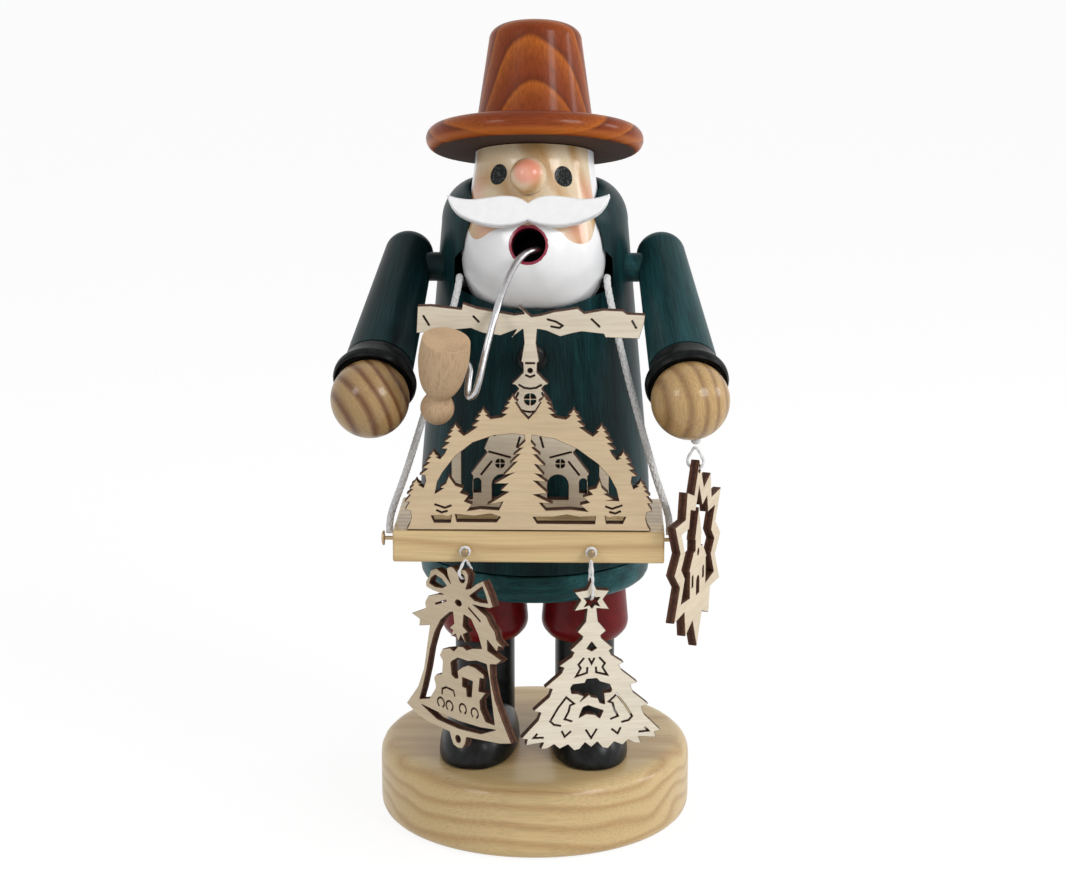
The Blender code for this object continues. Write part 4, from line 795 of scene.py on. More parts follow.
def face_finish():
    """Varnished wood with the hair and beard in white lacquer, the eyes, the ring of the mouth
    and a soft blush. All paint edges are curves in turn and drop on the head."""
    c = colours()
    t = Finish("painted_head")
    turn, drop = t.surface()

    def away(at_turn, at_drop, stretch):
        """Distance on the face in millimetres, where a degree is as wide as the stretch."""
        across = t.math("MULTIPLY", t.math("SUBTRACT", turn, at_turn), stretch)
        down = t.math("SUBTRACT", drop, at_drop)
        return t.length(t.node("CombineXYZ", (across, down)).outputs[0])

    base, _ = wood(t, c.pale, c.pale_late, FACE_TRUNK, UPRIGHT, 7.5, 1.6, FACE_FIBRE)
    cheek = 0.0
    for at_turn, at_drop in CHEEKS:
        spot = t.step(away(at_turn, at_drop, CHEEK_STRETCH), CHEEK_REACH, 0.0)
        cheek = t.math("MAXIMUM", cheek, spot)
    base = t.mix(t.math("MULTIPLY", cheek, BLUSH), base, c.blush)
    edge = t.node("FloatCurve", (1.0, t.math("MULTIPLY_ADD", turn, 1.0 / 180.0, 0.5)))
    points = edge.mapping.curves[0].points
    while len(points) < len(SKIN_EDGE):
        points.new(0.5, 0.5)
    for point, (at_turn, at_drop) in zip(points, SKIN_EDGE):
        point.location = (at_turn / 180.0 + 0.5, at_drop / EDGE_SCALE)
    edge.mapping.update()
    limit = t.math("MULTIPLY", edge.outputs[0], EDGE_SCALE)
    painted = t.step(t.math("SUBTRACT", drop, limit), -0.06, 0.06)
    mottle = t.noise(t.position(), 0.25)
    base = t.mix(painted, base, t.ramp(mottle, (0.3, shade(c.white, 0.96)), (0.7, c.white)))
    # Grey specks in the black of the eyes: dust, and painted glints of the gloss
    dust_and_glint = t.noise(t.position(), 1.6, 3.0)
    pupil = t.ramp(dust_and_glint, (0.52, shade(c.black, 0.9)), (0.72, shade(c.black, 11.0)))
    eyes = 0.0
    for at_turn, at_drop in EYES:
        way = away(at_turn, at_drop, EYE_HALF_DROP / EYE_HALF_TURN)
        eye = t.step(way, EYE_HALF_DROP + 0.05, EYE_HALF_DROP - 0.05)
        base = t.mix(eye, base, pupil)
        eyes = t.math("MAXIMUM", eyes, eye)
    ragged = t.math("MULTIPLY", t.noise(t.position(), 0.9), 0.5)
    way = t.math("ADD", away(0.0, MOUTH_DROP, MOUTH_STRETCH), ragged)
    base = t.mix(t.step(way, MOUTH_RING + 0.31, MOUTH_RING + 0.19), base, c.mouth)
    peel = t.noise(t.position(), 1.2)
    return t.done(base, 0.34, t.math("MULTIPLY_ADD", eyes, -0.3, 0.5), 0.08,
                  normal=t.bump(peel, 0.02), specular=t.math("MULTIPLY_ADD", eyes, -0.3, 0.35))


def nose_finish(where):
    """Varnished wood with a pink spot that fades before the rim."""
    c = colours()
    t = Finish("painted_nose")
    at = t.position(where[1], axes(where))
    way = t.length(t.vector("MULTIPLY", at, (1.0, 1.0, 0.0)))
    grain, fine = wood(t, c.pale, c.pale_late, FACE_TRUNK, UPRIGHT, 6.0, 1.2, FACE_FIBRE)
    cloud = t.math("MULTIPLY", t.noise(at, 0.7), 1.2)
    spot = t.step(t.math("ADD", way, cloud), 5.4, 2.8)
    return t.done(t.mix(t.math("MULTIPLY", spot, 0.7), grain, c.blush), 0.34, 0.35, 0.15,
                  normal=t.bump(fine, 0.02), specular=0.25)


# Lower half

def base_and_legs():
    """Round base with soft edges, and the shoes, boots and trousers on it."""
    c = colours()
    radius = mm("base_radius")
    edge = mm("base_edge")
    profile = [(0.0, 0.0), (radius, 0.0, 4.0), (radius, BASE_TOP, edge), (0.0, BASE_TOP)]
    mesh = turned("base_round", eased(profile), facets=192)
    add(mesh, "stand", ["base_disc"], "varnished_pine",
        pine("base_pine", c.pine, blend(c.pine, c.pine_late, 0.6), (0.0, 6.0, -260.0), None,
             ring=5.0, wobble=2.8, fibre=0.20, coat=0.25))
    black = lacquer("boot_lacquer", c.black, 0.36, speck=0.5, coat=0.10, specular=0.15)
    red = lacquer("trouser_lacquer", c.red, 0.38, speck=0.15, coat=0.12, specular=0.12)
    raw = raw_wood("dowel_wood", (0.0, 30.0, 0.0), UPRIGHT)
    for side, sign in SIDES:
        x = sign * LEG_X
        shoe_and_boot(side, sign, x, black)
        add(turned("trouser_" + side, trouser_profile(), place((x, 0.0, 0.0)), True),
            "stand", [side + "_trouser_bell"], "red_lacquer", red)
        dress(raw, side + "_leg_dowel")


SHOE_POWER = 2.4
SHOE_TOE_OUT = 6.0
SHOE_FACETS = 96
SHOE_WIDTH = 21.2
SHOE_LENGTH = 40.5
SHOE_HEIGHT = 12.5
SHOE_HEEL = 10.0
LEG_BORE = 3.3


def shoe_and_boot(side, sign, x, black):
    """The shoe is a stack of superellipses |x/a|^p + |y/b|^p = 1, whose scale falls with the
    height as (1 - h^p)^(1/p). The boot's shaft is a plain turned tube that stands in it."""
    level = np.sin(np.linspace(0.0, 90.0, 24) * DEG)
    scale = (1.0 - level ** SHOE_POWER) ** (1.0 / SHOE_POWER)
    level = np.concatenate([[0.0, 0.0, 0.0, 0.015], level[1:]])
    scale = np.concatenate([[0.0, 0.93, 0.955, 0.985], scale[1:]])
    angle = 90.0 * DEG + turns(SHOE_FACETS)
    power = 2.0 / SHOE_POWER
    across = np.sign(np.cos(angle)) * np.abs(np.cos(angle)) ** power * SHOE_WIDTH / 2.0
    ahead = np.sign(np.sin(angle)) * np.abs(np.sin(angle)) ** power * SHOE_LENGTH / 2.0
    points = np.stack([scale[:, None] * across, scale[:, None] * ahead
                       + SHOE_HEEL - SHOE_LENGTH / 2.0,
                       level[:, None] * SHOE_HEIGHT + 0.0 * across], -1)
    uv = surface_map(SHOE_FACETS, np.linspace(0.0, 30.0, len(level) + 1))
    where = place((x, 0.0, SHOE_LOW[2]), spin(sign * SHOE_TOE_OUT, "Z"))
    mesh = skin("shoe_" + side, put(points, where), uv)
    add(mesh, "stand", [side + "_shoe"], "black_lacquer", black)
    low, high = BOOT_LOW[2], BOOT_LOW[2] + BOOT_SIZE[2]
    radius = BOOT_SIZE[0] / 2.0
    shaft = [(LEG_BORE, low), (radius, low), (radius, high, 0.4), (LEG_BORE, high)]
    add(turned("boot_" + side, eased(shaft, True), place((x, 0.0, 0.0)), True), "stand",
        [side + "_boot_shaft"], "black_lacquer", black)


def trouser_profile():
    low, high = BELL_LOW[2], BELL_LOW[2] + BELL_SIZE[2]
    return eased([(8.6, low), (9.7, low, 0.5), (12.3, low + 2.9, 2.4), (11.0, high, 0.6),
                  (LEG_BORE, high), (LEG_BORE, low + 2.6), (8.6, low + 2.6)], True)


DRAUGHT = 2.3
DRAUGHT_Y = 15.8


def hem_and_dish():
    """Disc with a spigot and two draught holes, and the dish for the cone with its nail."""
    c = colours()
    radius = HEM_SIZE[0] / 2.0
    top = COAT_Z - GAP
    spigot, rise = mm("chamber") - 0.4, top + 6.0
    profile = [(0.0, HEM_Z), (radius, HEM_Z, 5.0), (radius, top, 0.5), (spigot, top),
               (spigot, rise, 0.4), (0.0, rise)]
    mesh = turned("hem_round", eased(profile))
    drill = [(0.0, HEM_Z - 2.0), (DRAUGHT, HEM_Z - 2.0), (DRAUGHT, top + 9.0), (0.0, top + 9.0)]
    holes = [turned(end + "_draught", drill, place((0.0, y, 0.0)), facets=32)
             for end, y in (("front", -DRAUGHT_Y), ("back", DRAUGHT_Y))]
    # Painted light: the hem's stain is painted 2.8 times as light as the coat's
    add(carve(mesh, *holes), "stand", ["hem_disc"], "green_stain",
        stained("hem_stain_and_light", (0.0, 20.0, 0.0), None, 2.8))
    low = DISH_LOW[2]
    outer, wall = DISH_SIZE[0] / 2.0, 0.6
    dish = [(1.0, low), (outer, low, 1.4), (outer, low + DISH_SIZE[2], 0.25),
            (outer - wall, low + DISH_SIZE[2], 0.25), (outer - wall, low + wall, 0.9),
            (1.0, low + wall)]
    brass = metal("dish_brass", c.brass, 0.28)
    add(turned("cone_dish", eased(dish, True), closed=True), "stand", ["incense_dish"],
        "brass_dish", brass)
    nail = nail_profile(shank=0.7, head=2.2, thick=0.9, reach=7.0)
    add(turned("dish_nail", nail, place((0.0, 0.0, low + wall + GAP)), facets=40), "stand",
        ["incense_dish_nail"], "bright_nail", metal("nail_metal", c.nail, 0.35))


NAIL_HEAD = 0.7


def nail_profile(shank, head, thick, reach):
    """Half section of a nail with its point down, from the head's underside at 0."""
    return eased([(0.0, -reach), (shank, -reach + 2.0 * shank, 0.2), (shank, 0.0),
                  (head, 0.0, 0.15), (head, thick * 0.6, 0.2), (head * 0.7, thick, 0.3),
                  (0.0, thick)])


# Coat, head and hat

BEARD_DROP = 28.0
NECK = 8.0
NECK_LENGTH = 5.0
THROAT = 4.4
BORE_LENGTH = 28.5
NOSE = 4.75
NOSE_OUT = 2.6
NOSE_DROP = 11.0
MOUSTACHE_DROP = 20.0
MOUSTACHE = ((0.0, 1.75), (1.8, 2.9), (4.0, 3.6), (6.7, 3.75), (10.0, 3.3), (13.8, 2.7),
             (17.5, 2.9), (21.1, 4.0), (20.4, 1.6), (18.6, -0.8), (16.3, -2.2), (12.5, -3.7),
             (7.9, -4.45), (4.0, -4.1), (1.6, -3.5), (0.0, -2.8))
HAT_BORE = 4.3
HAT_DEPTH = 8.3
PEG = [(0.0, -3.2), (1.3, -3.2), (1.3, GAP)]


def head_radius(drop):
    """Radius of the head under the hat: a smooth swell to the beard, and then a fall along a
    superellipse to the chin."""
    forehead, beard, chin = mm("forehead"), mm("beard"), mm("chin")
    up = np.clip(drop / BEARD_DROP, 0.0, 1.0)
    swell = forehead + (beard - forehead) * (3.0 * up ** 2 - 2.0 * up ** 3)
    down = np.clip((drop - BEARD_DROP) / (mm("head_length") - BEARD_DROP), 0.0, 1.0)
    return swell - (beard - chin) * (1.0 - np.sqrt(np.maximum(0.0, 1.0 - down ** 2.2)))


def head_rings(count):
    """Drops of the head's rings, close together at the chin."""
    upper = np.linspace(HEAD_CUT, BEARD_DROP, count)
    lower = BEARD_DROP + (mm("head_length") - BEARD_DROP) * np.sin(
        np.linspace(0.0, 90.0, count)[1:] * DEG)
    return np.concatenate([upper, lower])


CHAMBER_HEIGHT = 55.0
WAIST = 18.7
DOME = 11.5
SMOKE_BORE = 4.5
NECK_BORE = 8.3
POCKET = 21.2
BUTTON_HEIGHT = 58.5
BUTTON = 3.85
BUTTON_RISE = 1.7


def coat():
    """Turned coat: a straight hem, a cone and a dome, less the chamber for the cone, the pocket
    and the neck's socket in the tilted head's axes, and the channel for the smoke."""
    shoulder, crown, chamber = mm("coat_shoulder"), mm("coat_crown"), mm("chamber")
    radius = COAT_SIZE[0] / 2.0
    top = COAT_Z + COAT_SIZE[2]
    dome = arc(crown, top - DOME, shoulder - crown, 0.0, 90.0, 24, DOME)
    ceiling = COAT_Z + CHAMBER_HEIGHT
    profile = np.vstack([eased([(0.0, ceiling), (chamber, ceiling, 2.0),
                                (chamber, COAT_Z, 0.3), (radius, COAT_Z, 0.6),
                                (radius, COAT_Z + WAIST, 6.0), dome[0]]), dome[1:],
                         [(0.0, top)]])
    drops = head_rings(24)
    upper = drops[drops <= BEARD_DROP]
    floor = mm("head_length") + GAP
    pocket = [(0.0, -floor), (mm("chin") + 3.8, -floor), (POCKET, -floor + 7.2),
              (POCKET, -BEARD_DROP - 2.0)]
    pocket += [(head_radius(drop) + 0.5, -drop) for drop in upper[::-1]]
    pocket += [(0.0, 0.0)]
    foot = floor + NECK_LENGTH + GAP
    socket = [(0.0, -foot), (NECK_BORE, -foot), (NECK_BORE, -44.0), (0.0, -44.0)]
    channel = [(0.0, COAT_Z + 53.0), (SMOKE_BORE, COAT_Z + 53.0), (SMOKE_BORE, 142.8),
               (0.0, 142.8)]
    mesh = carve(turned("coat_turning", profile), turned("head_pocket", pocket, HEAD),
                 turned("neck_socket", socket, HEAD, facets=64),
                 turned("smoke_channel", channel, place((0.0, -13.5, 0.0)), facets=48))
    add(mesh, "figure", ["coat_body"], "green_stain",
        stained("coat_stain", (0.0, 26.0, 0.0), UPRIGHT))
    c = colours()
    lean = math.atan2(radius - shoulder, 72.0)
    share = (BUTTON_HEIGHT - WAIST) / (COAT_SIZE[2] - DOME - WAIST)
    front = radius + (shoulder - radius) * share
    where = place((0.0, -front, COAT_Z + BUTTON_HEIGHT),
                  Matrix.Rotation(90.0 * DEG - lean, 3, "X"))
    knob = PEG + arc(0.0, GAP, BUTTON, 0.0, 90.0, 12, BUTTON_RISE)
    add(turned("coat_knob", knob, where, facets=64), "figure", ["coat_button"],
        "black_lacquer",
        lacquer("button_lacquer", c.black, 0.34, speck=0.4, coat=0.1, specular=0.15))


def face_place(drop):
    """Place on the front of the head with +Z square to its surface."""
    rise = head_radius(drop + 1.0) - head_radius(drop - 1.0)
    slope = math.atan2(rise, 2.0)
    return inner(HEAD, (0.0, -head_radius(drop), -drop),
                 Matrix.Rotation(90.0 * DEG - slope, 3, "X"))


def head():
    """Turned head and beard with its neck, the throat and the mouth's bore, then the nose and
    the moustache on its surface."""
    c = colours()
    drops = head_rings(60)
    foot = mm("head_length") + NECK_LENGTH
    outer = np.stack([head_radius(drops), -drops], -1)
    inside = [(0.0, -MOUTH_DROP), (THROAT, -MOUTH_DROP), (THROAT, -foot), (NECK, -foot),
              (NECK, -mm("head_length"))]
    upper = [(HAT_BORE, -HEAD_CUT), (HAT_BORE, -HEAD_CUT - HAT_DEPTH),
             (0.0, -HEAD_CUT - HAT_DEPTH)]
    mesh = turned("head_turning", np.vstack([inside, outer[::-1], upper]), HEAD, facets=192)
    drop_map(mesh)
    dark = Finish("mouth_paint_and_shade")
    # Mouth colour at the bore's rim that darkens to near black deeper in: painted shade in the
    # bore
    deep = dark.length(dark.position(inner(HEAD, (0.0, -mm("beard"), -MOUTH_DROP))[1]))
    inside = dark.ramp(dark.step(deep, 4.6, 6.4), (0.0, c.mouth), (1.0, shade(c.black, 0.8)))
    dark.done(inside, 0.6, specular=0.15)
    drill = [(0.0, 0.0), (MOUTH_BORE, 0.0), (MOUTH_BORE, BORE_LENGTH), (0.0, BORE_LENGTH)]
    bore = turned("mouth_bore", drill, inner(HEAD, (0.0, -mm("beard") - 4.5, -MOUTH_DROP),
                                             spin(-90.0, "X")), facets=96)
    mesh.materials.append(face_finish())
    bore.materials.append(dark.made)
    done = carve(mesh, bore)
    add(done, "figure", ["head"], "varnished_skin")
    where = face_place(NOSE_DROP)
    rim = math.degrees(math.asin((NOSE_OUT - GAP) / NOSE))
    ball = PEG + arc(0.0, NOSE_OUT, NOSE, -rim, 90.0, 28)
    add(turned("nose_ball", ball, where, facets=80), "figure", ["nose"], "varnished_skin",
        nose_finish(where))
    soft = [(x, z, 0.15 if x in (0.0, 21.1) else 2.5) for x, z in MOUSTACHE]
    where = inner(face_place(MOUSTACHE_DROP), (0.0, 0.0, PLY / 2.0 + GAP), spin(-90.0, "X"))
    mesh = cut_sheet("moustache_plate", [mirrored(soft)], PLY, where, 0.35)
    white = lacquer("moustache_lacquer", c.white, 0.5, speck=0.02, coat=0.1)
    add(mesh, "figure", ["moustache"], "white_lacquer", white, white, white)


def drop_map(mesh):
    """Rewrites the head's surface map, so that v is the drop below the hat in decimetres."""
    turn, origin = HEAD
    corners = read(mesh.loops, "vertex_index", 1, np.int32)[:, 0]
    drop = -((read(mesh.vertices, "co", 3) / MM - origin) @ turn)[:, 2]
    layer = mesh.uv_layers["surface"].data
    uv = read(layer, "uv", 2)
    uv[:, 1] = drop[corners] / 100.0
    layer.foreach_set("uv", uv.ravel())


def mirrored(half):
    """Whole outline from its right half, which starts and ends on the centre line."""
    return loop_of(half + flipped(half[1:-1]))


def hat():
    """Brim with a round rim and a crown that tapers to a rounded top, both on the hat's dowel."""
    brim, thick, waist = mm("brim"), 6.6, 5.6
    half = thick / 2.0
    rim = arc(brim - half, half, half, -90.0, 90.0, 20)
    upper = eased([rim[-1], (brim - thick - 3.0, waist, 1.5), (HAT_BORE, waist)])
    profile = np.vstack([[(HAT_BORE, 0.0)], rim, upper[1:]])
    add(turned("brim_turning", profile, inner(HEAD, (0.0, 0.0, GAP - HEAD_CUT)), True, 192),
        "figure", ["hat_brim"], "brown_stain", brim_stain())
    base, tip, rounding = 15.8, 12.4, 4.2
    high = mm("crown")
    top = arc(tip - 5.6, high - rounding, 5.6, 0.0, 84.0, 16, rounding)
    profile = np.vstack([[(0.0, HAT_DEPTH), (HAT_BORE, HAT_DEPTH), (HAT_BORE, 0.0), (base, 0.0)],
                         top, [(0.0, high)]])
    add(turned("crown_turning", profile, inner(HEAD, (0.0, 0.0, waist + 2.0 * GAP - HEAD_CUT))),
        "figure", ["hat_crown"], "brown_stain", crown_stain())
    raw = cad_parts["left_leg_dowel"].data.materials[0]
    dress(raw, "hat_dowel", "right_tray_dowel", "left_tray_dowel")


# Arms

ARM_LENGTH = 56.8
SLEEVE_LENGTH = 44.2
ARM_DROOP = 31.4
SHOULDER_X = 34.0
SHOULDER_DROP = 20.5
HAND_OUT = 6.53
SLEEVE_END = 8.9
CUFF_RISE = 6.4
# Painted light and shade: the left sleeve's stain is painted twice as light, as a painted sheen
# on the key light's side, and the right sleeve's half as light, as painted shade
SLEEVE_LIGHT_AND_SHADE = {"right": 0.5, "left": 2.0}
HAND_TRUNK = 34.0
# Lean of the grain, share of late wood in the dark rings, and tone. The tone is painted light and
# shade: the right hand, away from the key light, is painted darker, the left one lighter
HAND_WOOD_AND_LIGHT = {"right": (62.0, 1.0, 0.85), "left": (86.0, 0.55, 1.08)}


def arm_place(sign):
    """Place of an arm with +Z down the sleeve, its shoulder and its direction. The hand ends
    just outside the tray."""
    shoulder = (sign * SHOULDER_X, -2.0, COAT_Z + COAT_SIZE[2] - SHOULDER_DROP)
    spread = math.asin((TRAY_SIZE[0] / 2.0 + HAND_OUT - SHOULDER_X) / ARM_LENGTH)
    droop = ARM_DROOP * DEG
    direction = (math.sin(spread) * sign, -math.cos(spread) * math.cos(droop),
                 -math.cos(spread) * math.sin(droop))
    return along(shoulder, direction), np.array(shoulder), np.array(direction)


def arms():
    """Tapering sleeves with round shoulders, flared cuffs, ball hands and shoulder dowels."""
    c = colours()
    black = lacquer("cuff_lacquer", c.black, 0.34, speck=0.4, coat=0.02, specular=0.06)
    for side, sign in SIDES:
        where, shoulder, direction = arm_place(sign)
        turn = axes(where) @ UPRIGHT
        # Each sleeve's stain (also used on its shoulder peg) is painted lighter or darker by its
        # painted light and shade
        stain = stained("sleeve_stain_and_light_" + side, tuple(shoulder + (9.0, 12.0, 0.0)), turn,
                        SLEEVE_LIGHT_AND_SHADE[side])
        sleeve = np.vstack([[(0.0, -5.0)], arc(2.3, 0.0, 4.3, -86.0, 0.0, 16, 5.0),
                            [(SLEEVE_END, SLEEVE_LENGTH), (0.0, SLEEVE_LENGTH)]])
        add(turned("sleeve_turning_" + side, sleeve, where, facets=96), "figure",
            [side + "_sleeve"], "green_stain", stain)
        add(turned("cuff_turning_" + side, cuff_profile(),
                   (where[0], shoulder + direction * (SLEEVE_LENGTH + GAP)), facets=112),
            "figure", [side + "_cuff"], "black_lacquer", black)
        ball = arc(0.0, 0.0, mm("hand"), -90.0, 90.0, 48)
        hand_at = (where[0], shoulder + direction * ARM_LENGTH)
        lean, dark, tone = HAND_WOOD_AND_LIGHT[side]
        tilt = spin(lean, "Y")
        away = np.array((math.sin(lean * DEG), 0.25, math.cos(lean * DEG)))
        trunk = hand_at[1] + HAND_TRUNK * away
        # shade(c.hand, tone) paints the hand's early wood darker or lighter as painted shade and
        # light
        grain = pine("hand_pine_" + side, shade(c.hand, tone), blend(c.hand, c.hand_late, dark),
                     tuple(trunk), tilt, ring=4.0, wobble=1.8, fibre=0.3, coat=0.35)
        add(turned("hand_ball_" + side, ball, hand_at, facets=96), "figure",
            [side + "_hand"], "varnished_pine", grain)
        low, size = extent(side + "_shoulder_dowel")
        half = size[0] / 2.0
        peg = eased([(0.0, -half), (3.9, -half, 0.3), (3.9, half, 0.3), (0.0, half)])
        add(turned("shoulder_peg_" + side, peg, along(low + size / 2.0, (1.0, 0.0, 0.0)),
                   facets=48), "figure", [side + "_shoulder_dowel"], "green_stain", stain)


def cuff_profile():
    """Flared ring: a cone, a thick band with a small chamfer, and a hollow round the hand."""
    cuff, hand = mm("cuff"), mm("hand")
    ball = ARM_LENGTH - SLEEVE_LENGTH - GAP
    cup = hand + GAP
    rim = math.degrees(math.acos((ball - CUFF_RISE) / cup))
    outer = eased([(0.0, 0.0), (SLEEVE_END, 0.0, 0.3), (9.6, 2.5, 1.2), (cuff, 5.0, 0.35),
                   (cuff, CUFF_RISE, 0.2), (cuff - 0.5, CUFF_RISE + 1.0, 0.2),
                   (cuff - 1.5, CUFF_RISE)])
    hollow = arc(0.0, ball, cup, rim - 90.0, -90.0, 20)
    return np.vstack([outer, hollow[:-1], [(0.0, ball - cup)]])


# Tray

TRAY_EDGE = 0.7


def tray():
    """Board with soft edges and the two cut scenes on it."""
    c = colours()
    middle = (TRAY_LOW + TRAY_SIZE / 2.0) * MM
    work = bmesh.new()
    bmesh.ops.create_cube(work, size=1.0)
    bmesh.ops.scale(work, vec=tuple(TRAY_SIZE * MM), verts=work.verts)
    bmesh.ops.bevel(work, geom=list(work.edges), offset=TRAY_EDGE * MM, segments=5, profile=0.6,
                    affect="EDGES")
    bmesh.ops.translate(work, vec=tuple(middle), verts=work.verts)
    mesh = bpy.data.meshes.new("tray_plank")
    work.to_mesh(mesh)
    work.free()
    add(smooth(mesh), "figure", ["tray_board"], "varnished_pine",
        pine("tray_pine", c.pine, blend(c.pine, c.pine_late, 0.6), (0.0, -24.0, 70.0), None,
             ring=2.6, wobble=2.2, fibre=0.16))
    for name, node, loops, back, phase, warm in (
            ("arch", "front_arch", arch_loops(), 0.4, 3.0, 1.0),
            ("wing", "back_plate", wing_loops(), 17.0, 11.0, 0.15)):
        where = place((0.0, TRAY_FRONT + back + PLY / 2.0, TRAY_TOP + GAP))
        add(cut_sheet(name + "_scene", loops, PLY, where), "figure", [node], "birch_plywood",
            *ply_finishes(name, where, phase, warm))


def slit(*points, width=0.34):
    """Narrow closed loop along a line, whose points are moved to both sides of it. At a bend the
    way is m w / |m|^2, where m is the sum of the two runs' normals and w the width."""
    line = np.array(points, float)
    ahead = np.diff(line, axis=0)
    ahead /= np.linalg.norm(ahead, axis=1)[:, None]
    ahead = np.vstack([ahead[:1], ahead, ahead[-1:]])
    square = np.stack([-ahead[:, 1], ahead[:, 0]], -1)
    across = square[:-1] + square[1:]
    across *= width / np.sum(across ** 2, axis=1)[:, None]
    return np.vstack([line - across, (line + across)[::-1]])


def panes(x, z, radius, bar=0.2):
    """Round window with four panes between the bars of a cross."""
    whole = []
    for start in (0.0, 90.0, 180.0, 270.0):
        aside = bar if start in (0.0, 270.0) else -bar
        rise = bar if start < 180.0 else -bar
        whole.append([(x + aside, z + rise)]
                     + arc(x + aside, z + rise, radius - bar, start, start + 90.0, 5))
    return whole


def round_hole(x, z, radius, tall=None):
    return arc(x, z, radius, 0.0, 330.0, 11, tall)


def doorway(x, low, half, high):
    """Opening with upright sides and a round top."""
    return [(x - half, low), (x + half, low)] + arc(x, high - half, half, 0.0, 180.0, 8)


def flipped(points):
    return [(-point[0], *point[1:]) for point in reversed(list(points))]


def both_sides(marks):
    return [side for mark in marks for side in (mark, flipped(mark))]


def loop_of(points, ease=0.2):
    return eased(points, True, ease)


FIR = ((0.55, -1.0), (1.4, -1.6), (0.75, -1.8), (2.1, -3.0), (1.1, -3.2), (2.9, -4.6),
       (1.6, -4.8), (3.6, -6.4), (2.2, -6.5))


def fir(x, z, left, right, scale=1.0):
    """Jagged fir with its tip at (x, z) and as many points down each side as asked."""
    up = [(x - a * scale, z + b * scale) for a, b in reversed(FIR[:left])]
    return up + [(x, z)] + [(x + a * scale, z + b * scale) for a, b in FIR[:right]]


def arch_loops():
    """Arch with firs along its outer edge, the same at both sides, over two open fields with
    more firs between them and slots in the ground below."""
    half = [(0.0, 28.6), (1.7, 30.4)] + fir(3.9, 34.6, 3, 7) + [(6.6, 29.0), (9.3, 28.6)]
    half += fir(11.2, 31.3, 3, 7) + [(14.6, 25.2), (16.0, 24.3)]
    half += fir(18.1, 27.3, 3, 9) + [(20.9, 19.6), (22.0, 18.3)]
    half += fir(23.6, 20.5, 3, 9) + [(25.6, 12.6), (26.2, 10.9)] + fir(28.0, 13.1, 3, 6, 0.85)
    half += [(29.5, 8.9), (31.0, 7.2), (29.8, 7.1), (30.9, 5.2), (29.6, 4.8), (29.3, 3.2),
             (29.8, 1.4), (30.6, 0.0), (0.0, 0.0)]
    right = [(1.0, 24.5), (0.7, 22.8), (1.8, 21.5), (0.9, 21.3), (3.0, 19.5), (1.4, 19.5),
             (4.2, 16.6), (1.6, 17.0), (4.0, 14.2), (1.9, 14.6), (4.8, 12.4), (1.4, 12.8),
             (4.9, 9.6), (1.4, 9.2), (6.1, 6.9), (2.8, 7.1), (4.4, 5.2), (10.5, 5.5),
             (14.8, 5.0), (12.9, 6.7), (15.2, 7.3), (13.6, 8.7), (16.0, 9.4), (14.9, 10.5),
             (16.9, 11.0), (17.8, 13.2), (18.4, 11.1), (19.9, 9.7), (19.0, 9.5), (21.4, 8.1),
             (20.2, 7.9), (22.6, 7.8), (21.9, 10.8), (20.3, 13.8), (17.3, 17.2), (12.3, 20.9),
             (6.7, 23.5)]
    left = [(-1.0, 24.5), (-0.8, 23.0), (-2.7, 21.1), (-1.5, 21.2), (-3.7, 19.4),
            (-2.2, 19.6), (-4.6, 17.2), (-2.9, 17.7), (-6.3, 14.1), (-4.0, 14.7),
            (-8.6, 12.0), (-5.2, 12.0), (-7.0, 10.2), (-5.0, 9.9), (-10.3, 6.5), (-6.4, 7.3),
            (-7.4, 5.2), (-12.0, 5.5), (-15.2, 5.0), (-14.0, 6.6), (-16.0, 7.4),
            (-14.9, 8.9), (-17.0, 9.6), (-16.2, 10.8), (-18.2, 11.5), (-19.9, 14.0),
            (-20.6, 12.0), (-22.2, 10.9), (-21.3, 10.7), (-23.3, 9.4), (-22.7, 12.4),
            (-21.4, 14.8), (-18.2, 19.0), (-13.8, 22.5), (-8.8, 24.3), (-4.0, 24.8)]
    holes = [right, left, [(1.2, 3.4), (6.5, 3.5), (9.6, 4.1), (12.6, 3.5), (16.8, 3.7),
                           (16.6, 1.8), (2.2, 1.8)],
             [(-18.3, 4.0), (-13.5, 3.6), (-9.5, 4.2), (-7.0, 3.4), (-8.0, 2.1), (-17.9, 2.1)]]
    holes += both_sides([
        slit((19.3, 6.3), (20.9, 5.7), (23.4, 6.6)), slit((20.3, 4.9), (21.7, 4.5), (23.0, 5.1)),
        [(19.2, 3.8), (20.2, 3.3), (21.4, 3.7), (24.3, 3.6), (23.6, 1.9), (19.5, 1.9)]])
    return [loop_of(part, 0.0) for part in [half + flipped(half[1:-1])] + holes]


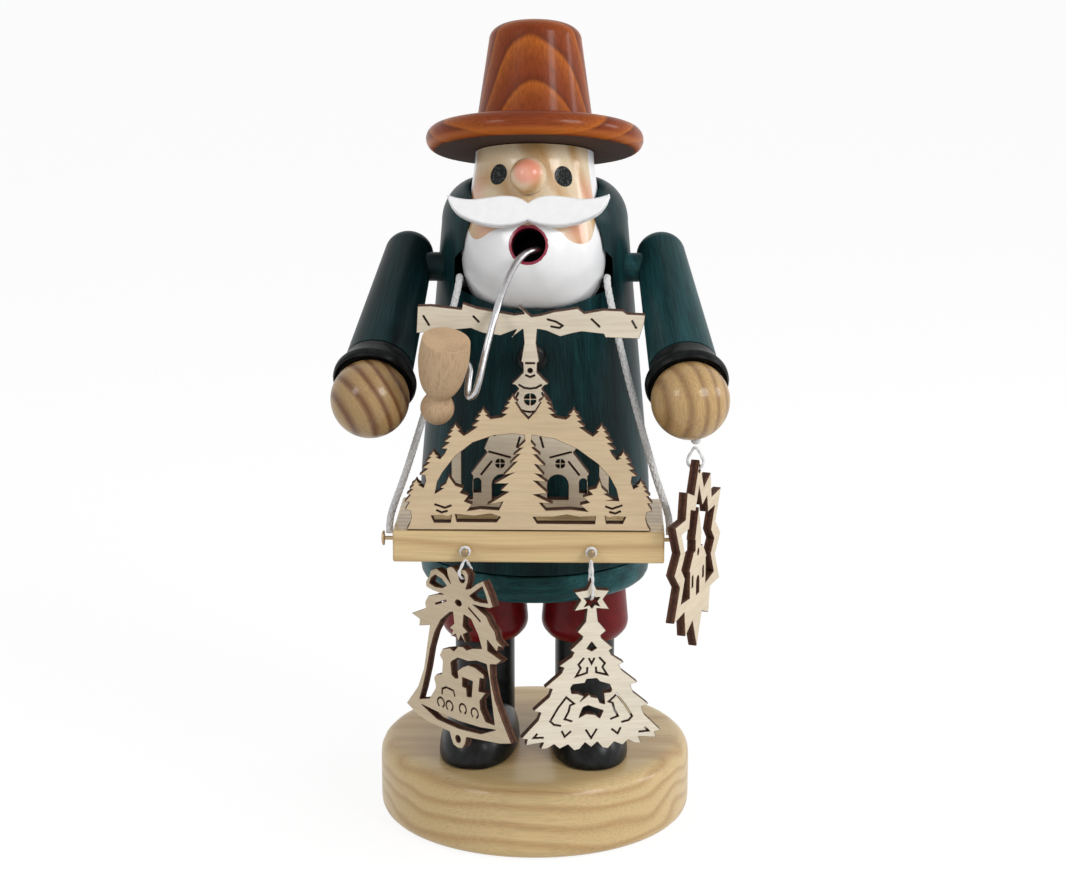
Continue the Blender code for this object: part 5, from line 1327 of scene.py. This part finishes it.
def wing_loops():
    """Two ragged wings on a tower, which widens to a roof, walls and fences, the same at both
    sides, with windows, doors and slits."""
    house = [(1.8, 48.1), (1.5, 44.5), (2.3, 39.7), (1.8, 39.4), (1.7, 36.9), (3.1, 35.4),
             (4.7, 33.9), (3.7, 33.6), (2.9, 32.7), (5.4, 29.0), (5.9, 27.2), (5.0, 26.6),
             (8.0, 24.0), (10.3, 20.6), (11.8, 17.0), (11.0, 16.0), (15.2, 10.4), (14.7, 9.8),
             (14.8, 3.6), (17.6, 3.6), (17.6, 19.0), (18.6, 19.8), (20.2, 18.6), (20.2, 3.6),
             (22.5, 3.6), (22.5, 0.0)]
    right = [(0.3, 51.2), (2.5, 51.5), (6.0, 52.5), (12.0, 53.4), (13.6, 52.1), (18.5, 53.0),
             (23.3, 52.8), (24.4, 52.0), (29.0, 51.8), (28.8, 49.9), (27.5, 45.7), (19.0, 46.0),
             (18.6, 46.9), (13.0, 47.5), (10.5, 47.0), (7.6, 46.2), (4.0, 47.7)]
    left = [(-1.8, 48.1), (-4.7, 45.9), (-3.4, 48.0), (-7.5, 46.4), (-12.0, 47.0),
            (-15.0, 48.2), (-28.8, 46.9), (-28.4, 53.8), (-25.0, 53.9), (-17.3, 53.0),
            (-17.0, 54.5), (-13.5, 53.3), (-4.0, 51.6), (-1.4, 52.0), (-2.8, 53.8)]
    outline = right + house + flipped(house)[:-1] + left
    slits = [slit((-27.0, 51.4), (-25.5, 48.9)), slit((-14.4, 51.4), (-12.9, 49.8)),
             slit((15.4, 50.8), (17.6, 48.7)), slit((25.7, 50.4), (26.8, 48.4)),
             slit((4.3, 50.6), (6.6, 50.0), (8.2, 49.0), (7.4, 48.4), (5.2, 48.8)),
             slit((-1.2, 39.3), (1.2, 39.3)), slit((-1.2, 36.2), (0.0, 35.7), (1.2, 36.2)),
             slit((-2.9, 33.7), (-1.5, 32.9), (0.0, 32.7), (1.5, 32.9), (2.9, 33.7)),
             slit((-3.0, 31.7), (-3.9, 29.7)), slit((3.0, 31.7), (3.9, 29.7)),
             slit((-3.4, 27.6), (-1.4, 26.8), (0.0, 26.6), (1.4, 26.8), (3.4, 27.6))]
    pairs = [slit((5.0, 14.7), (10.6, 16.2)), slit((2.6, 20.1), (3.4, 17.3)),
             slit((9.8, 13.7), (12.6, 10.1)), doorway(7.1, 3.6, 2.7, 10.2),
             doorway(13.6, 5.4, 1.0, 9.2), slit((7.2, 22.6), (9.2, 20.4))]
    pairs += panes(7.7, 13.1, 1.15)
    holes = slits + [round_hole(0.0, 37.4, 0.62)] + panes(0.0, 29.9, 1.5) + both_sides(pairs)
    return [loop_of(outline, 0.15)] + [loop_of(hole, 0.1) for hole in holes]


# Cord and pipe

CORD_RIGHT = ((-35.6, -56.2, 95.0), (-35.5, -54.9, 98.2), (-34.6, -52.9, 101.6),
              (-31.9, -48.0, 108.9), (-27.6, -39.5, 122.4), (-23.6, -31.1, 136.2),
              (-20.9, -24.9, 147.2), (-19.7, -21.2, 152.5), (-19.5, -18.1, 154.5),
              (-19.5, -14.6, 153.5), (-19.0, -8.6, 151.5), (-15.4, -1.7, 149.4),
              (-8.9, 3.5, 147.8))
WIRE = ((2.2, -25.0, 162.6), (1.0, -28.0, 163.4), (-1.4, -31.4, 163.2), (-3.8, -35.6, 161.4),
        (-5.8, -41.4, 158.2), (-7.4, -47.4, 154.6), (-8.5, -51.2, 151.2), (-9.7, -53.8, 146.9),
        (-11.1, -56.2, 141.4), (-12.3, -58.2, 136.0), (-13.3, -59.0, 132.5),
        (-14.5, -58.9, 131.1), (-15.3, -58.0, 131.9), (-15.2, -56.4, 134.6),
        (-15.0, -54.6, 137.2), (-15.9, -53.9, 138.7), (-17.2, -55.0, 139.3),
        (-19.2, -57.0, 139.9))
BOWL_TOP = np.array((-20.4, -62.0, 146.3))
BOWL_AXIS = np.array((0.139, -0.33, 0.934)) / np.linalg.norm((0.139, -0.33, 0.934))
BOWL_LENGTH = 24.4


def neck_cord():
    """Braid from one nail at the tray's end over the neck to the other, and the nails."""
    c = colours()
    left = [(-x, y, z) for x, y, z in reversed(CORD_RIGHT)]
    route = list(CORD_RIGHT) + [(0.0, 5.6, 147.2)] + left
    path = follow(route, 12)
    radius = mm("cord")
    item = add(tube("cord_braid", path, radius, braid), "figure", ["neck_cord"], "white_cord",
               thread_finish("cord_thread"))
    steel = metal("cord_nail_metal", shade(c.nail, 1.6), 0.35)
    for side, sign in SIDES:
        low, size = extent(side + "_cord_nail")
        outer = NAIL_HEAD - (low[0] + (size[0] if sign > 0 else 0.0)) * sign
        where = along((-outer * sign, low[1] + size[1] / 2.0, low[2] + size[2] / 2.0),
                      (sign, 0.0, 0.0))
        nail = nail_profile(shank=0.5, head=1.9, thick=NAIL_HEAD, reach=size[0] - NAIL_HEAD)
        add(turned("cord_nail_" + side, nail, where, facets=40), "figure",
            [side + "_cord_nail"], "bright_nail", steel)


def pipe():
    """Bent wire with a turned bowl on its end: a ball, a neck and a swelling cup."""
    c = colours()
    mesh = tube("pipe_stem", follow(WIRE, 14), mm("wire"), None, 0.35, 28)
    add(mesh, "figure", ["pipe_wire"], "aluminium_wire", metal("stem_metal", c.metal, 0.30))
    neck, swell = 8.4, 6.4
    cup = BOWL_LENGTH - neck
    ball = arc(0.0, 4.3, 4.3, -90.0, 40.0, 20)
    sides = [(3.1, neck, 0.9)]
    sides += [(swell * r, neck + cup * z, 1.6)
              for z, r in ((0.12, 0.72), (0.30, 0.88), (0.60, 1.0), (0.85, 0.985))]
    sides += [(6.05, BOWL_LENGTH, 0.25), (0.0, BOWL_LENGTH)]
    profile = np.vstack([ball, eased([ball[-1]] + sides)[1:]])
    where = along(BOWL_TOP - BOWL_AXIS * BOWL_LENGTH, BOWL_AXIS)
    turn = axes(where) @ UPRIGHT
    add(turned("pipe_cup", profile, where, facets=96), "figure", ["pipe_bowl"], "raw_beech",
        raw_wood("cup_beech", tuple(where[1] + (14.0, 9.0, 0.0)), turn))


# Hanging ornaments

ORNAMENT_PLY = 2.3
EYE = 1.1
ROUND_EYE = arc(0.0, 0.0, EYE, 0.0, 345.0, 23)
LOOP_HALF = 2.1
KNOT_THREAD = 0.48
HANGERS = {
    "bell": {"twist": -45.0, "drop": 6.9, "gap": 1.5, "shift": (-1.6, -0.5), "phase": 21.0,
             "warm": 0.7},
    "tree": {"twist": 12.0, "drop": 12.0, "gap": 1.5, "shift": (0.0, 0.0), "phase": 33.0,
             "warm": 0.0},
    "star": {"twist": 72.0, "drop": 7.6, "gap": 1.3, "shift": (0.0, 0.0), "phase": 47.0,
             "warm": 0.5},
}


def string_loop(top, bottom):
    """Closed loop in the YZ plane: narrow under the knot, and wide enough for the plate below.
    Its corners are cut at a quarter of each run, three times over."""
    points = [(0.35, top - 0.1), (-0.35, top - 0.1), (-0.6 * LOOP_HALF, top - 1.6),
              (-LOOP_HALF, 0.45 * top + 0.55 * bottom)]
    points += arc(0.0, bottom + LOOP_HALF, LOOP_HALF, 180.0, 360.0, 12)
    points += [(LOOP_HALF, 0.45 * top + 0.55 * bottom), (0.6 * LOOP_HALF, top - 1.6)]
    loop = np.array([(0.0, y, z) for y, z in points])
    for _ in range(3):
        ahead = np.roll(loop, -1, axis=0)
        loop = np.stack([0.75 * loop + 0.25 * ahead, 0.25 * loop + 0.75 * ahead], 1)
        loop = loop.reshape(-1, 3)
    return np.vstack([loop, loop[:1]])


def ornament(name, loops, eye):
    """Plate and thread of an ornament, which hangs in the middle of its knot."""
    facts = HANGERS[name]
    low, size = extent(name + "_string_knot")
    knot = low + size / 2.0
    hung = place(knot, spin(facts["twist"], "Z"))
    where = inner(hung, (0.0, 0.0, -facts["drop"]))
    shifted = [np.asarray(loop) + facts["shift"] for loop in loops]
    mesh = cut_sheet(name + "_cutout", shifted + [eye], ORNAMENT_PLY, where)
    add(mesh, name, [name + "_ornament"], "birch_plywood",
        *ply_finishes(name, where, facts["phase"], facts["warm"]))
    radius = mm("string")
    lift = LOOP_HALF - math.sqrt(LOOP_HALF ** 2 - (ORNAMENT_PLY / 2.0 + GAP) ** 2)
    bottom = -facts["drop"] + EYE - radius - GAP - lift
    path = put(string_loop(-facts["gap"] - GAP - radius, bottom), hung)
    thread = thread_finish(name + "_thread")
    add(tube(name + "_strands", path, radius, twist, 0.12, 16, True), name,
        [name + "_string_loop"], "white_cord", thread)
    return knot, thread


def tray_knots():
    """Bell and tree under their rings of thread, each with its nail in the tray's front."""
    steel = metal("string_nail_metal", colours().nail, 0.4)
    for name, side, loops, eye in (("bell", "right", bell_loops(), ROUND_EYE),
                                   ("tree", "left", tree_loops(), TREE_EYE)):
        knot, thread = ornament(name, loops, eye)
        angle = turns(90)
        ring = np.stack([knot[0] + np.cos(angle), knot[1] + 0.12 * np.sin(3.0 * angle),
                         knot[2] + np.sin(angle)], -1)
        knotted = tube(name + "_knot", np.vstack([ring, ring[:1]]), KNOT_THREAD, wound, 0.10,
                       20, closed=True)
        add(knotted, name + "_knot", [name + "_string_knot"], "white_cord", thread)
        low, size = extent(side + "_string_nail")
        where = along((low[0] + size[0] / 2.0, low[1] + NAIL_HEAD, low[2] + size[2] / 2.0),
                      (0.0, -1.0, 0.0))
        nail = nail_profile(shank=0.5, head=1.0, thick=NAIL_HEAD, reach=size[1] - NAIL_HEAD)
        add(turned("string_nail_" + side, nail, where, facets=32), "figure",
            [side + "_string_nail"], "bright_nail", steel)


def hand_knot():
    """Star under a ball of thread at the hand."""
    knot, thread = ornament("star", star_loops(), ROUND_EYE)
    ball = arc(0.0, 0.0, 1.3, -90.0, 90.0, 20)
    add(turned("star_knot", ball, place(knot), facets=40), "star_knot", ["star_string_knot"],
        "white_cord", thread)


def tree_loops():
    """Fir with a star on its tip, the same at both sides but for its two small openings."""
    right = [(1.2, -2.4), (1.6, -5.8), (3.7, -8.4), (2.3, -9.6), (2.5, -10.3), (5.5, -13.1),
             (4.5, -13.7), (5.1, -14.9), (8.4, -17.1), (7.1, -17.6), (7.7, -19.0),
             (12.0, -22.6), (10.1, -23.1), (10.8, -25.1), (14.9, -28.6), (13.0, -29.2),
             (13.7, -31.2), (18.1, -35.8), (16.5, -36.1), (16.9, -37.7), (12.3, -37.2),
             (13.1, -39.0), (11.4, -38.9), (9.6, -37.9), (8.2, -39.2), (6.0, -38.2),
             (4.4, -39.9), (3.0, -39.6), (1.6, -37.9)]
    star = [(0.0, 5.2), (1.2, 2.5), (4.5, 2.1), (2.8, -0.1), (4.5, -2.8)]
    outline = star + right + [(0.0, -39.3)] + flipped(right) + flipped(star[1:])
    marks = [slit((2.0, -15.4), (3.4, -17.0), (2.8, -18.0), (4.0, -20.1), (1.2, -19.3),
                  (1.1, -17.9)),
             slit((5.0, -32.0), (6.9, -31.3), (5.9, -29.4), (5.5, -27.7), (4.5, -27.3),
                  (6.5, -25.5), (8.6, -28.2), (10.6, -31.6), (9.7, -32.6), (7.9, -33.0)),
             slit((14.0, -34.8), (14.9, -35.8), (12.4, -35.9)),
             slit((7.6, -34.5), (6.9, -36.0), (5.3, -34.7))]
    holes = [[(0.0, -11.1), (-1.3, -12.9), (0.0, -13.6), (1.3, -12.9)],
             [(-5.4, -23.1), (-4.8, -22.2), (-1.7, -22.0), (-1.3, -21.0), (1.3, -20.9),
              (2.1, -21.8), (4.7, -22.7), (5.3, -24.2), (5.0, -24.8), (3.2, -24.9),
              (3.5, -27.9), (2.2, -27.5), (1.7, -26.2), (0.0, -25.8), (-0.6, -25.1),
              (-3.0, -26.9), (-1.9, -25.5), (-3.6, -24.7), (-5.1, -24.6)],
             [(-3.2, -31.2), (-2.8, -29.9), (-2.1, -28.4), (-0.8, -28.0), (0.5, -28.6),
              (3.1, -29.6), (2.2, -31.6), (0.9, -30.6), (-1.3, -30.2)]]
    both = both_sides(marks)
    both += [slit((-1.4, -34.5), (0.0, -36.8), (1.4, -34.5)),
             slit((-0.7, -15.5), (0.0, -16.9), (0.7, -15.5))]
    return ([loop_of(outline, 0.15)] + [loop_of(hole) for hole in holes]
            + [loop_of(mark, 0.0) for mark in both])


TREE_EYE = [(0.0, 1.3), (0.75, 0.5), (2.0, 0.4), (1.25, -0.6), (1.9, -1.8), (0.7, -1.4),
            (0.0, -2.3), (-0.7, -1.4), (-1.9, -1.8), (-1.25, -0.6), (-2.0, 0.4), (-0.75, 0.5)]


def bell_loops():
    """Bell under a bow, with a steam engine in its open middle and a clapper below."""
    outline = [(-4.2, 2.0), (-2.6, 2.8), (-1.4, 2.6), (-0.1, 1.6), (1.1, 2.9), (3.0, 2.9),
               (4.1, 1.8), (3.8, 0.0), (3.0, -2.0), (4.8, -1.4), (7.0, 0.3), (9.5, 1.6),
               (11.0, -0.4), (11.9, -1.9), (13.1, -4.4), (11.9, -5.0), (8.8, -5.3), (5.6, -5.4),
               (7.6, -6.1), (10.7, -7.4), (11.9, -9.2), (13.7, -10.6), (14.3, -12.6),
               (16.7, -14.0), (15.0, -14.1), (14.5, -15.7), (10.9, -13.4), (11.0, -16.2),
               (16.1, -17.6), (14.3, -19.1), (11.9, -19.6), (12.1, -23.6), (13.6, -28.5),
               (16.6, -33.8), (19.7, -38.5), (15.4, -39.7), (9.2, -40.5), (2.9, -41.3),
               (2.4, -43.2), (1.4, -44.7), (-0.3, -45.1), (-2.1, -44.6), (-3.0, -43.0),
               (-3.6, -41.5), (-11.3, -41.2), (-15.9, -40.2), (-20.4, -38.1), (-15.8, -32.4),
               (-13.4, -26.8), (-11.9, -19.3), (-10.9, -14.6), (-15.1, -15.7), (-14.8, -13.9),
               (-18.0, -13.0), (-12.4, -10.4), (-12.7, -8.9), (-11.4, -6.9), (-8.2, -5.7),
               (-5.4, -5.2), (-9.8, -5.0), (-12.2, -4.6), (-12.3, -3.3), (-11.0, -1.7),
               (-10.3, 0.2), (-8.1, 1.1), (-5.2, 0.2), (-2.6, -1.8), (-3.8, 0.2)]
    sky = [(-3.1, -9.4), (-1.9, -9.0), (-1.5, -12.0), (-3.3, -13.5), (-1.9, -13.9),
           (-2.8, -15.8), (-0.9, -14.6), (0.1, -16.4), (1.0, -14.5), (2.8, -16.1), (1.9, -14.1),
           (3.7, -13.1), (1.8, -12.0), (2.2, -8.8), (4.9, -9.4), (7.5, -12.9), (8.9, -16.2),
           (5.3, -17.0), (3.1, -18.0), (1.9, -17.4), (0.0, -17.7), (-1.7, -19.4), (-3.2, -18.9),
           (-6.1, -19.8), (-7.2, -21.9), (-6.0, -23.0), (-6.4, -26.6), (-8.5, -27.2),
           (-9.5, -28.5), (-8.9, -30.0), (-8.9, -31.1), (-11.2, -34.4), (-15.2, -35.6),
           (-14.0, -32.4), (-12.2, -26.6), (-10.8, -20.8), (-9.1, -16.2), (-6.6, -12.2)]
    right = [(-2.4, -22.2), (-0.1, -20.8), (3.7, -20.8), (6.8, -19.9), (10.6, -19.9),
             (11.6, -23.7), (12.4, -28.7), (13.5, -35.2), (10.2, -35.2), (8.3, -32.5),
             (8.0, -30.3), (10.3, -27.5), (7.6, -27.8), (8.1, -24.2), (9.6, -24.0),
             (9.6, -22.9), (6.2, -21.8), (3.7, -21.8), (1.5, -22.9), (-0.4, -24.3),
             (-0.1, -26.2), (-1.3, -26.5), (-2.5, -25.9), (-2.9, -22.8)]
    window = [(1.5, -25.6), (5.4, -25.7), (4.9, -30.0), (3.2, -30.3), (3.0, -28.1), (1.5, -28.0)]
    cuts = [slit((-6.3, -32.0), (-6.3, -30.6), (-4.7, -29.8), (-2.0, -30.0), (-1.4, -31.4)),
            slit((4.0, -6.6), (8.4, -9.2)), slit((-4.4, -6.6), (-8.6, -8.4))]
    cuts += [slit(*arc(x, z, 1.3, -60.0, 240.0, 12), width=0.3)
             for x, z in ((-6.8, -34.4), (-3.5, -34.5), (1.6, -34.0), (6.1, -34.0))]
    crescent = [(-14.4, -36.9), (-8.0, -37.4), (0.0, -37.7), (8.0, -37.3), (13.9, -36.4),
                (8.4, -38.9), (0.2, -39.7), (-8.4, -39.3)]
    bow = [[(-4.2, -2.6), (-6.0, -1.3), (-8.6, -0.7), (-10.2, -1.9), (-10.9, -3.4),
            (-8.6, -3.9), (-6.0, -3.6)],
           [(4.4, -3.4), (6.4, -1.9), (9.2, 0.1), (10.2, -1.6), (11.2, -3.8), (8.6, -4.2),
            (6.2, -4.2)], round_hole(0.2, -6.2, 1.2, 0.8)]
    holes = [sky, right, window, crescent, *bow,
             round_hole(-0.3, -42.6, 1.0)]
    return ([loop_of(outline)] + [loop_of(hole) for hole in holes]
            + [loop_of(part, 0.1) for part in cuts])


STAR_REACH = (24.8, 17.2, 21.8, 17.2)
STAR_FRAME = (18.0, 12.6, 15.6, 12.6)


def star_ring(reaches, first, last):
    """Points of a star round its middle, 15 degrees apart, whose reaches take turns."""
    spots = []
    for i in range(first, last):
        reach, angle = reaches[i % 4], (90.0 - 15.0 * i) * DEG
        spots.append((reach * math.cos(angle), reach * math.sin(angle)))
    return spots


def star_loops():
    """Star with an open field, in which a church with a spire stands on the lower frame."""
    centre = EYE + 1.2 - STAR_REACH[0]
    church = [(7.4, -9.8), (7.4, -2.8), (8.4, -2.8), (4.4, 1.4), (2.6, 1.6), (2.6, 4.4),
              (3.3, 4.4)]
    field = star_ring(STAR_FRAME, 0, 9) + church + [(0.0, 12.4)] + flipped(church)
    field += star_ring(STAR_FRAME, 16, 24)
    windows = [doorway(0.0, -10.6, 1.5, -5.8), doorway(5.0, -7.6, 0.8, -4.4),
               doorway(-5.0, -7.6, 0.8, -4.4), round_hole(0.0, 0.6, 0.9)]
    loops = [loop_of(part, 0.0) for part in [star_ring(STAR_REACH, 0, 24), field] + windows]
    return [loop + (0.0, centre) for loop in loops]


# Stage: lengths in metres

FLOOR_HALF = 9.0
FLOOR_GLOW = 1.10
FLOOR_SHARE = 0.80
SENSOR = 36.0
AIM = (0.0, 0.0, 0.11)
WHITE = (1.0, 1.0, 1.0, 1.0)


def stage():
    """Plain pale floor, even sky and three soft lights, and the camera of the photograph."""
    scene = bpy.context.scene
    s = scene.smoker_stage
    half = FLOOR_HALF
    mesh = bpy.data.meshes.new("floor")
    mesh.from_pydata([(-half, -half, 0.0), (half, -half, 0.0), (half, half, 0.0),
                      (-half, half, 0.0)], [], [(0, 1, 2, 3)])
    linked("floor", mesh, scene.collection)
    t = Finish("floor_paper")
    t.done(colours().floor, 0.9)
    glow = t.node("Emission", (WHITE, FLOOR_GLOW))
    share = t.math("MULTIPLY", seen(t), FLOOR_SHARE)
    both = t.node("MixShader", (share, t.shader.outputs[0], glow.outputs[0]))
    t.tree.links.new(both.outputs[0], t.tree.nodes["Material Output"].inputs["Surface"])
    mesh.materials.append(t.made)
    world = bpy.data.worlds.new("even_sky")
    world.use_nodes = True
    scene.world = world
    w = Nodes(world.node_tree)
    back = w.tree.nodes["Background"]
    w.feed(back.inputs["Strength"], w.math("MULTIPLY_ADD", seen(w), 1.0 - s.sky, s.sky))
    w.feed(back.inputs["Color"], WHITE)
    light("key_light", (0.60, -0.62, 0.62), 0.40, s.key)
    light("left_light", (-0.60, -0.62, 0.60), 0.30, 0.9 * s.rim)
    light("right_light", (0.90, 0.05, 0.40), 0.30, s.rim)
    camera = linked("camera", bpy.data.cameras.new("camera"), scene.collection)
    camera.data.sensor_width = SENSOR
    camera.data.lens = s.lens
    camera.data.clip_start = 0.05
    turn = Matrix.Rotation(s.azimuth, 4, "Z")
    camera.matrix_world = (turn @ Matrix.Translation((s.aside, -s.distance, s.height))
                           @ Matrix.Rotation(90.0 * DEG - s.pitch, 4, "X"))
    scene.camera = camera
    scene.view_settings.view_transform = "Standard"


def seen(t):
    """1 where the camera, a reflection or a refraction looks at it."""
    rays = t.node("LightPath").outputs
    either = t.math("MAXIMUM", rays["Is Camera Ray"], rays["Is Glossy Ray"])
    return t.math("MAXIMUM", either, rays["Is Transmission Ray"])


def light(name, spot, size, power):
    """Round soft light that looks at the figure's middle."""
    lamp = bpy.data.lights.new(name, "AREA")
    lamp.shape = "DISK"
    lamp.size = size
    lamp.energy = power
    item = linked(name, lamp, bpy.context.scene.collection)
    aim = Vector(AIM) - Vector(spot)
    turn = aim.to_track_quat("-Z", "Y").to_matrix().to_4x4()
    item.matrix_world = Matrix.Translation(spot) @ turn


# Operators

class SMOKER_OT_stage(bpy.types.Operator):
    """Make the floor, the lights and the camera"""
    bl_idname = "smoker.stage"
    bl_label = "Stage"

    def execute(self, context):
        stage()
        return {"FINISHED"}


class SMOKER_OT_cord(bpy.types.Operator):
    """Make the braided neck cord and its nails"""
    bl_idname = "smoker.cord"
    bl_label = "Neck cord"

    def execute(self, context):
        neck_cord()
        return {"FINISHED"}


class SMOKER_OT_base(bpy.types.Operator):
    """Make the base, shoes, boots and trousers"""
    bl_idname = "smoker.base"
    bl_label = "Base and legs"

    def execute(self, context):
        base_and_legs()
        return {"FINISHED"}


class SMOKER_OT_hem(bpy.types.Operator):
    """Make the hem disc and the incense dish"""
    bl_idname = "smoker.hem"
    bl_label = "Hem and dish"

    def execute(self, context):
        hem_and_dish()
        return {"FINISHED"}


class SMOKER_OT_coat(bpy.types.Operator):
    """Make the coat and its button"""
    bl_idname = "smoker.coat"
    bl_label = "Coat"

    def execute(self, context):
        coat()
        return {"FINISHED"}


class SMOKER_OT_head(bpy.types.Operator):
    """Make the head, nose and moustache"""
    bl_idname = "smoker.head"
    bl_label = "Head"

    def execute(self, context):
        head()
        return {"FINISHED"}


class SMOKER_OT_hat(bpy.types.Operator):
    """Make the brim and the crown"""
    bl_idname = "smoker.hat"
    bl_label = "Hat"

    def execute(self, context):
        hat()
        return {"FINISHED"}


class SMOKER_OT_arms(bpy.types.Operator):
    """Make the sleeves, cuffs and hands"""
    bl_idname = "smoker.arms"
    bl_label = "Arms"

    def execute(self, context):
        arms()
        return {"FINISHED"}


class SMOKER_OT_tray(bpy.types.Operator):
    """Make the tray and its two cut-out scenes"""
    bl_idname = "smoker.tray"
    bl_label = "Tray"

    def execute(self, context):
        tray()
        return {"FINISHED"}


class SMOKER_OT_pipe(bpy.types.Operator):
    """Make the wire stem and the bowl"""
    bl_idname = "smoker.pipe"
    bl_label = "Pipe"

    def execute(self, context):
        pipe()
        return {"FINISHED"}


class SMOKER_OT_ornaments(bpy.types.Operator):
    """Make the hanging ornaments and their strings"""
    bl_idname = "smoker.ornaments"
    bl_label = "Ornaments"

    def execute(self, context):
        tray_knots()
        hand_knot()
        return {"FINISHED"}


OPERATORS = (SMOKER_OT_stage, SMOKER_OT_cord, SMOKER_OT_base, SMOKER_OT_hem, SMOKER_OT_coat,
             SMOKER_OT_head, SMOKER_OT_hat, SMOKER_OT_arms, SMOKER_OT_tray,
             SMOKER_OT_pipe, SMOKER_OT_ornaments)


class SMOKER_PT_panel(bpy.types.Panel):
    """Lists the figure's pieces, sizes and colours"""
    bl_label = "Smoker figure"
    bl_idname = "SMOKER_PT_panel"
    bl_space_type = "VIEW_3D"
    bl_region_type = "UI"
    bl_category = "Smoker"

    def draw(self, context):
        for kind in OPERATORS:
            self.layout.operator(kind.bl_idname)
        for group in (context.scene.smoker_sizes, context.scene.smoker_colours,
                      context.scene.smoker_stage):
            column = self.layout.box().column()
            for key in type(group).__annotations__:
                column.prop(group, key)


CLASSES = (SmokerSizes, SmokerColours, SmokerStage, *OPERATORS, SMOKER_PT_panel)


def register():
    for kind in CLASSES:
        bpy.utils.register_class(kind)
    bpy.types.Scene.smoker_sizes = PointerProperty(type=SmokerSizes)
    bpy.types.Scene.smoker_colours = PointerProperty(type=SmokerColours)
    bpy.types.Scene.smoker_stage = PointerProperty(type=SmokerStage)


def unregister():
    del bpy.types.Scene.smoker_sizes
    del bpy.types.Scene.smoker_colours
    del bpy.types.Scene.smoker_stage
    for kind in reversed(CLASSES):
        bpy.utils.unregister_class(kind)


def main():
    register()
    for kind in OPERATORS:
        getattr(bpy.ops.smoker, kind.bl_idname.split(".")[1])()
    bpy.context.view_layer.update()


if __name__ == "__main__":
    main()
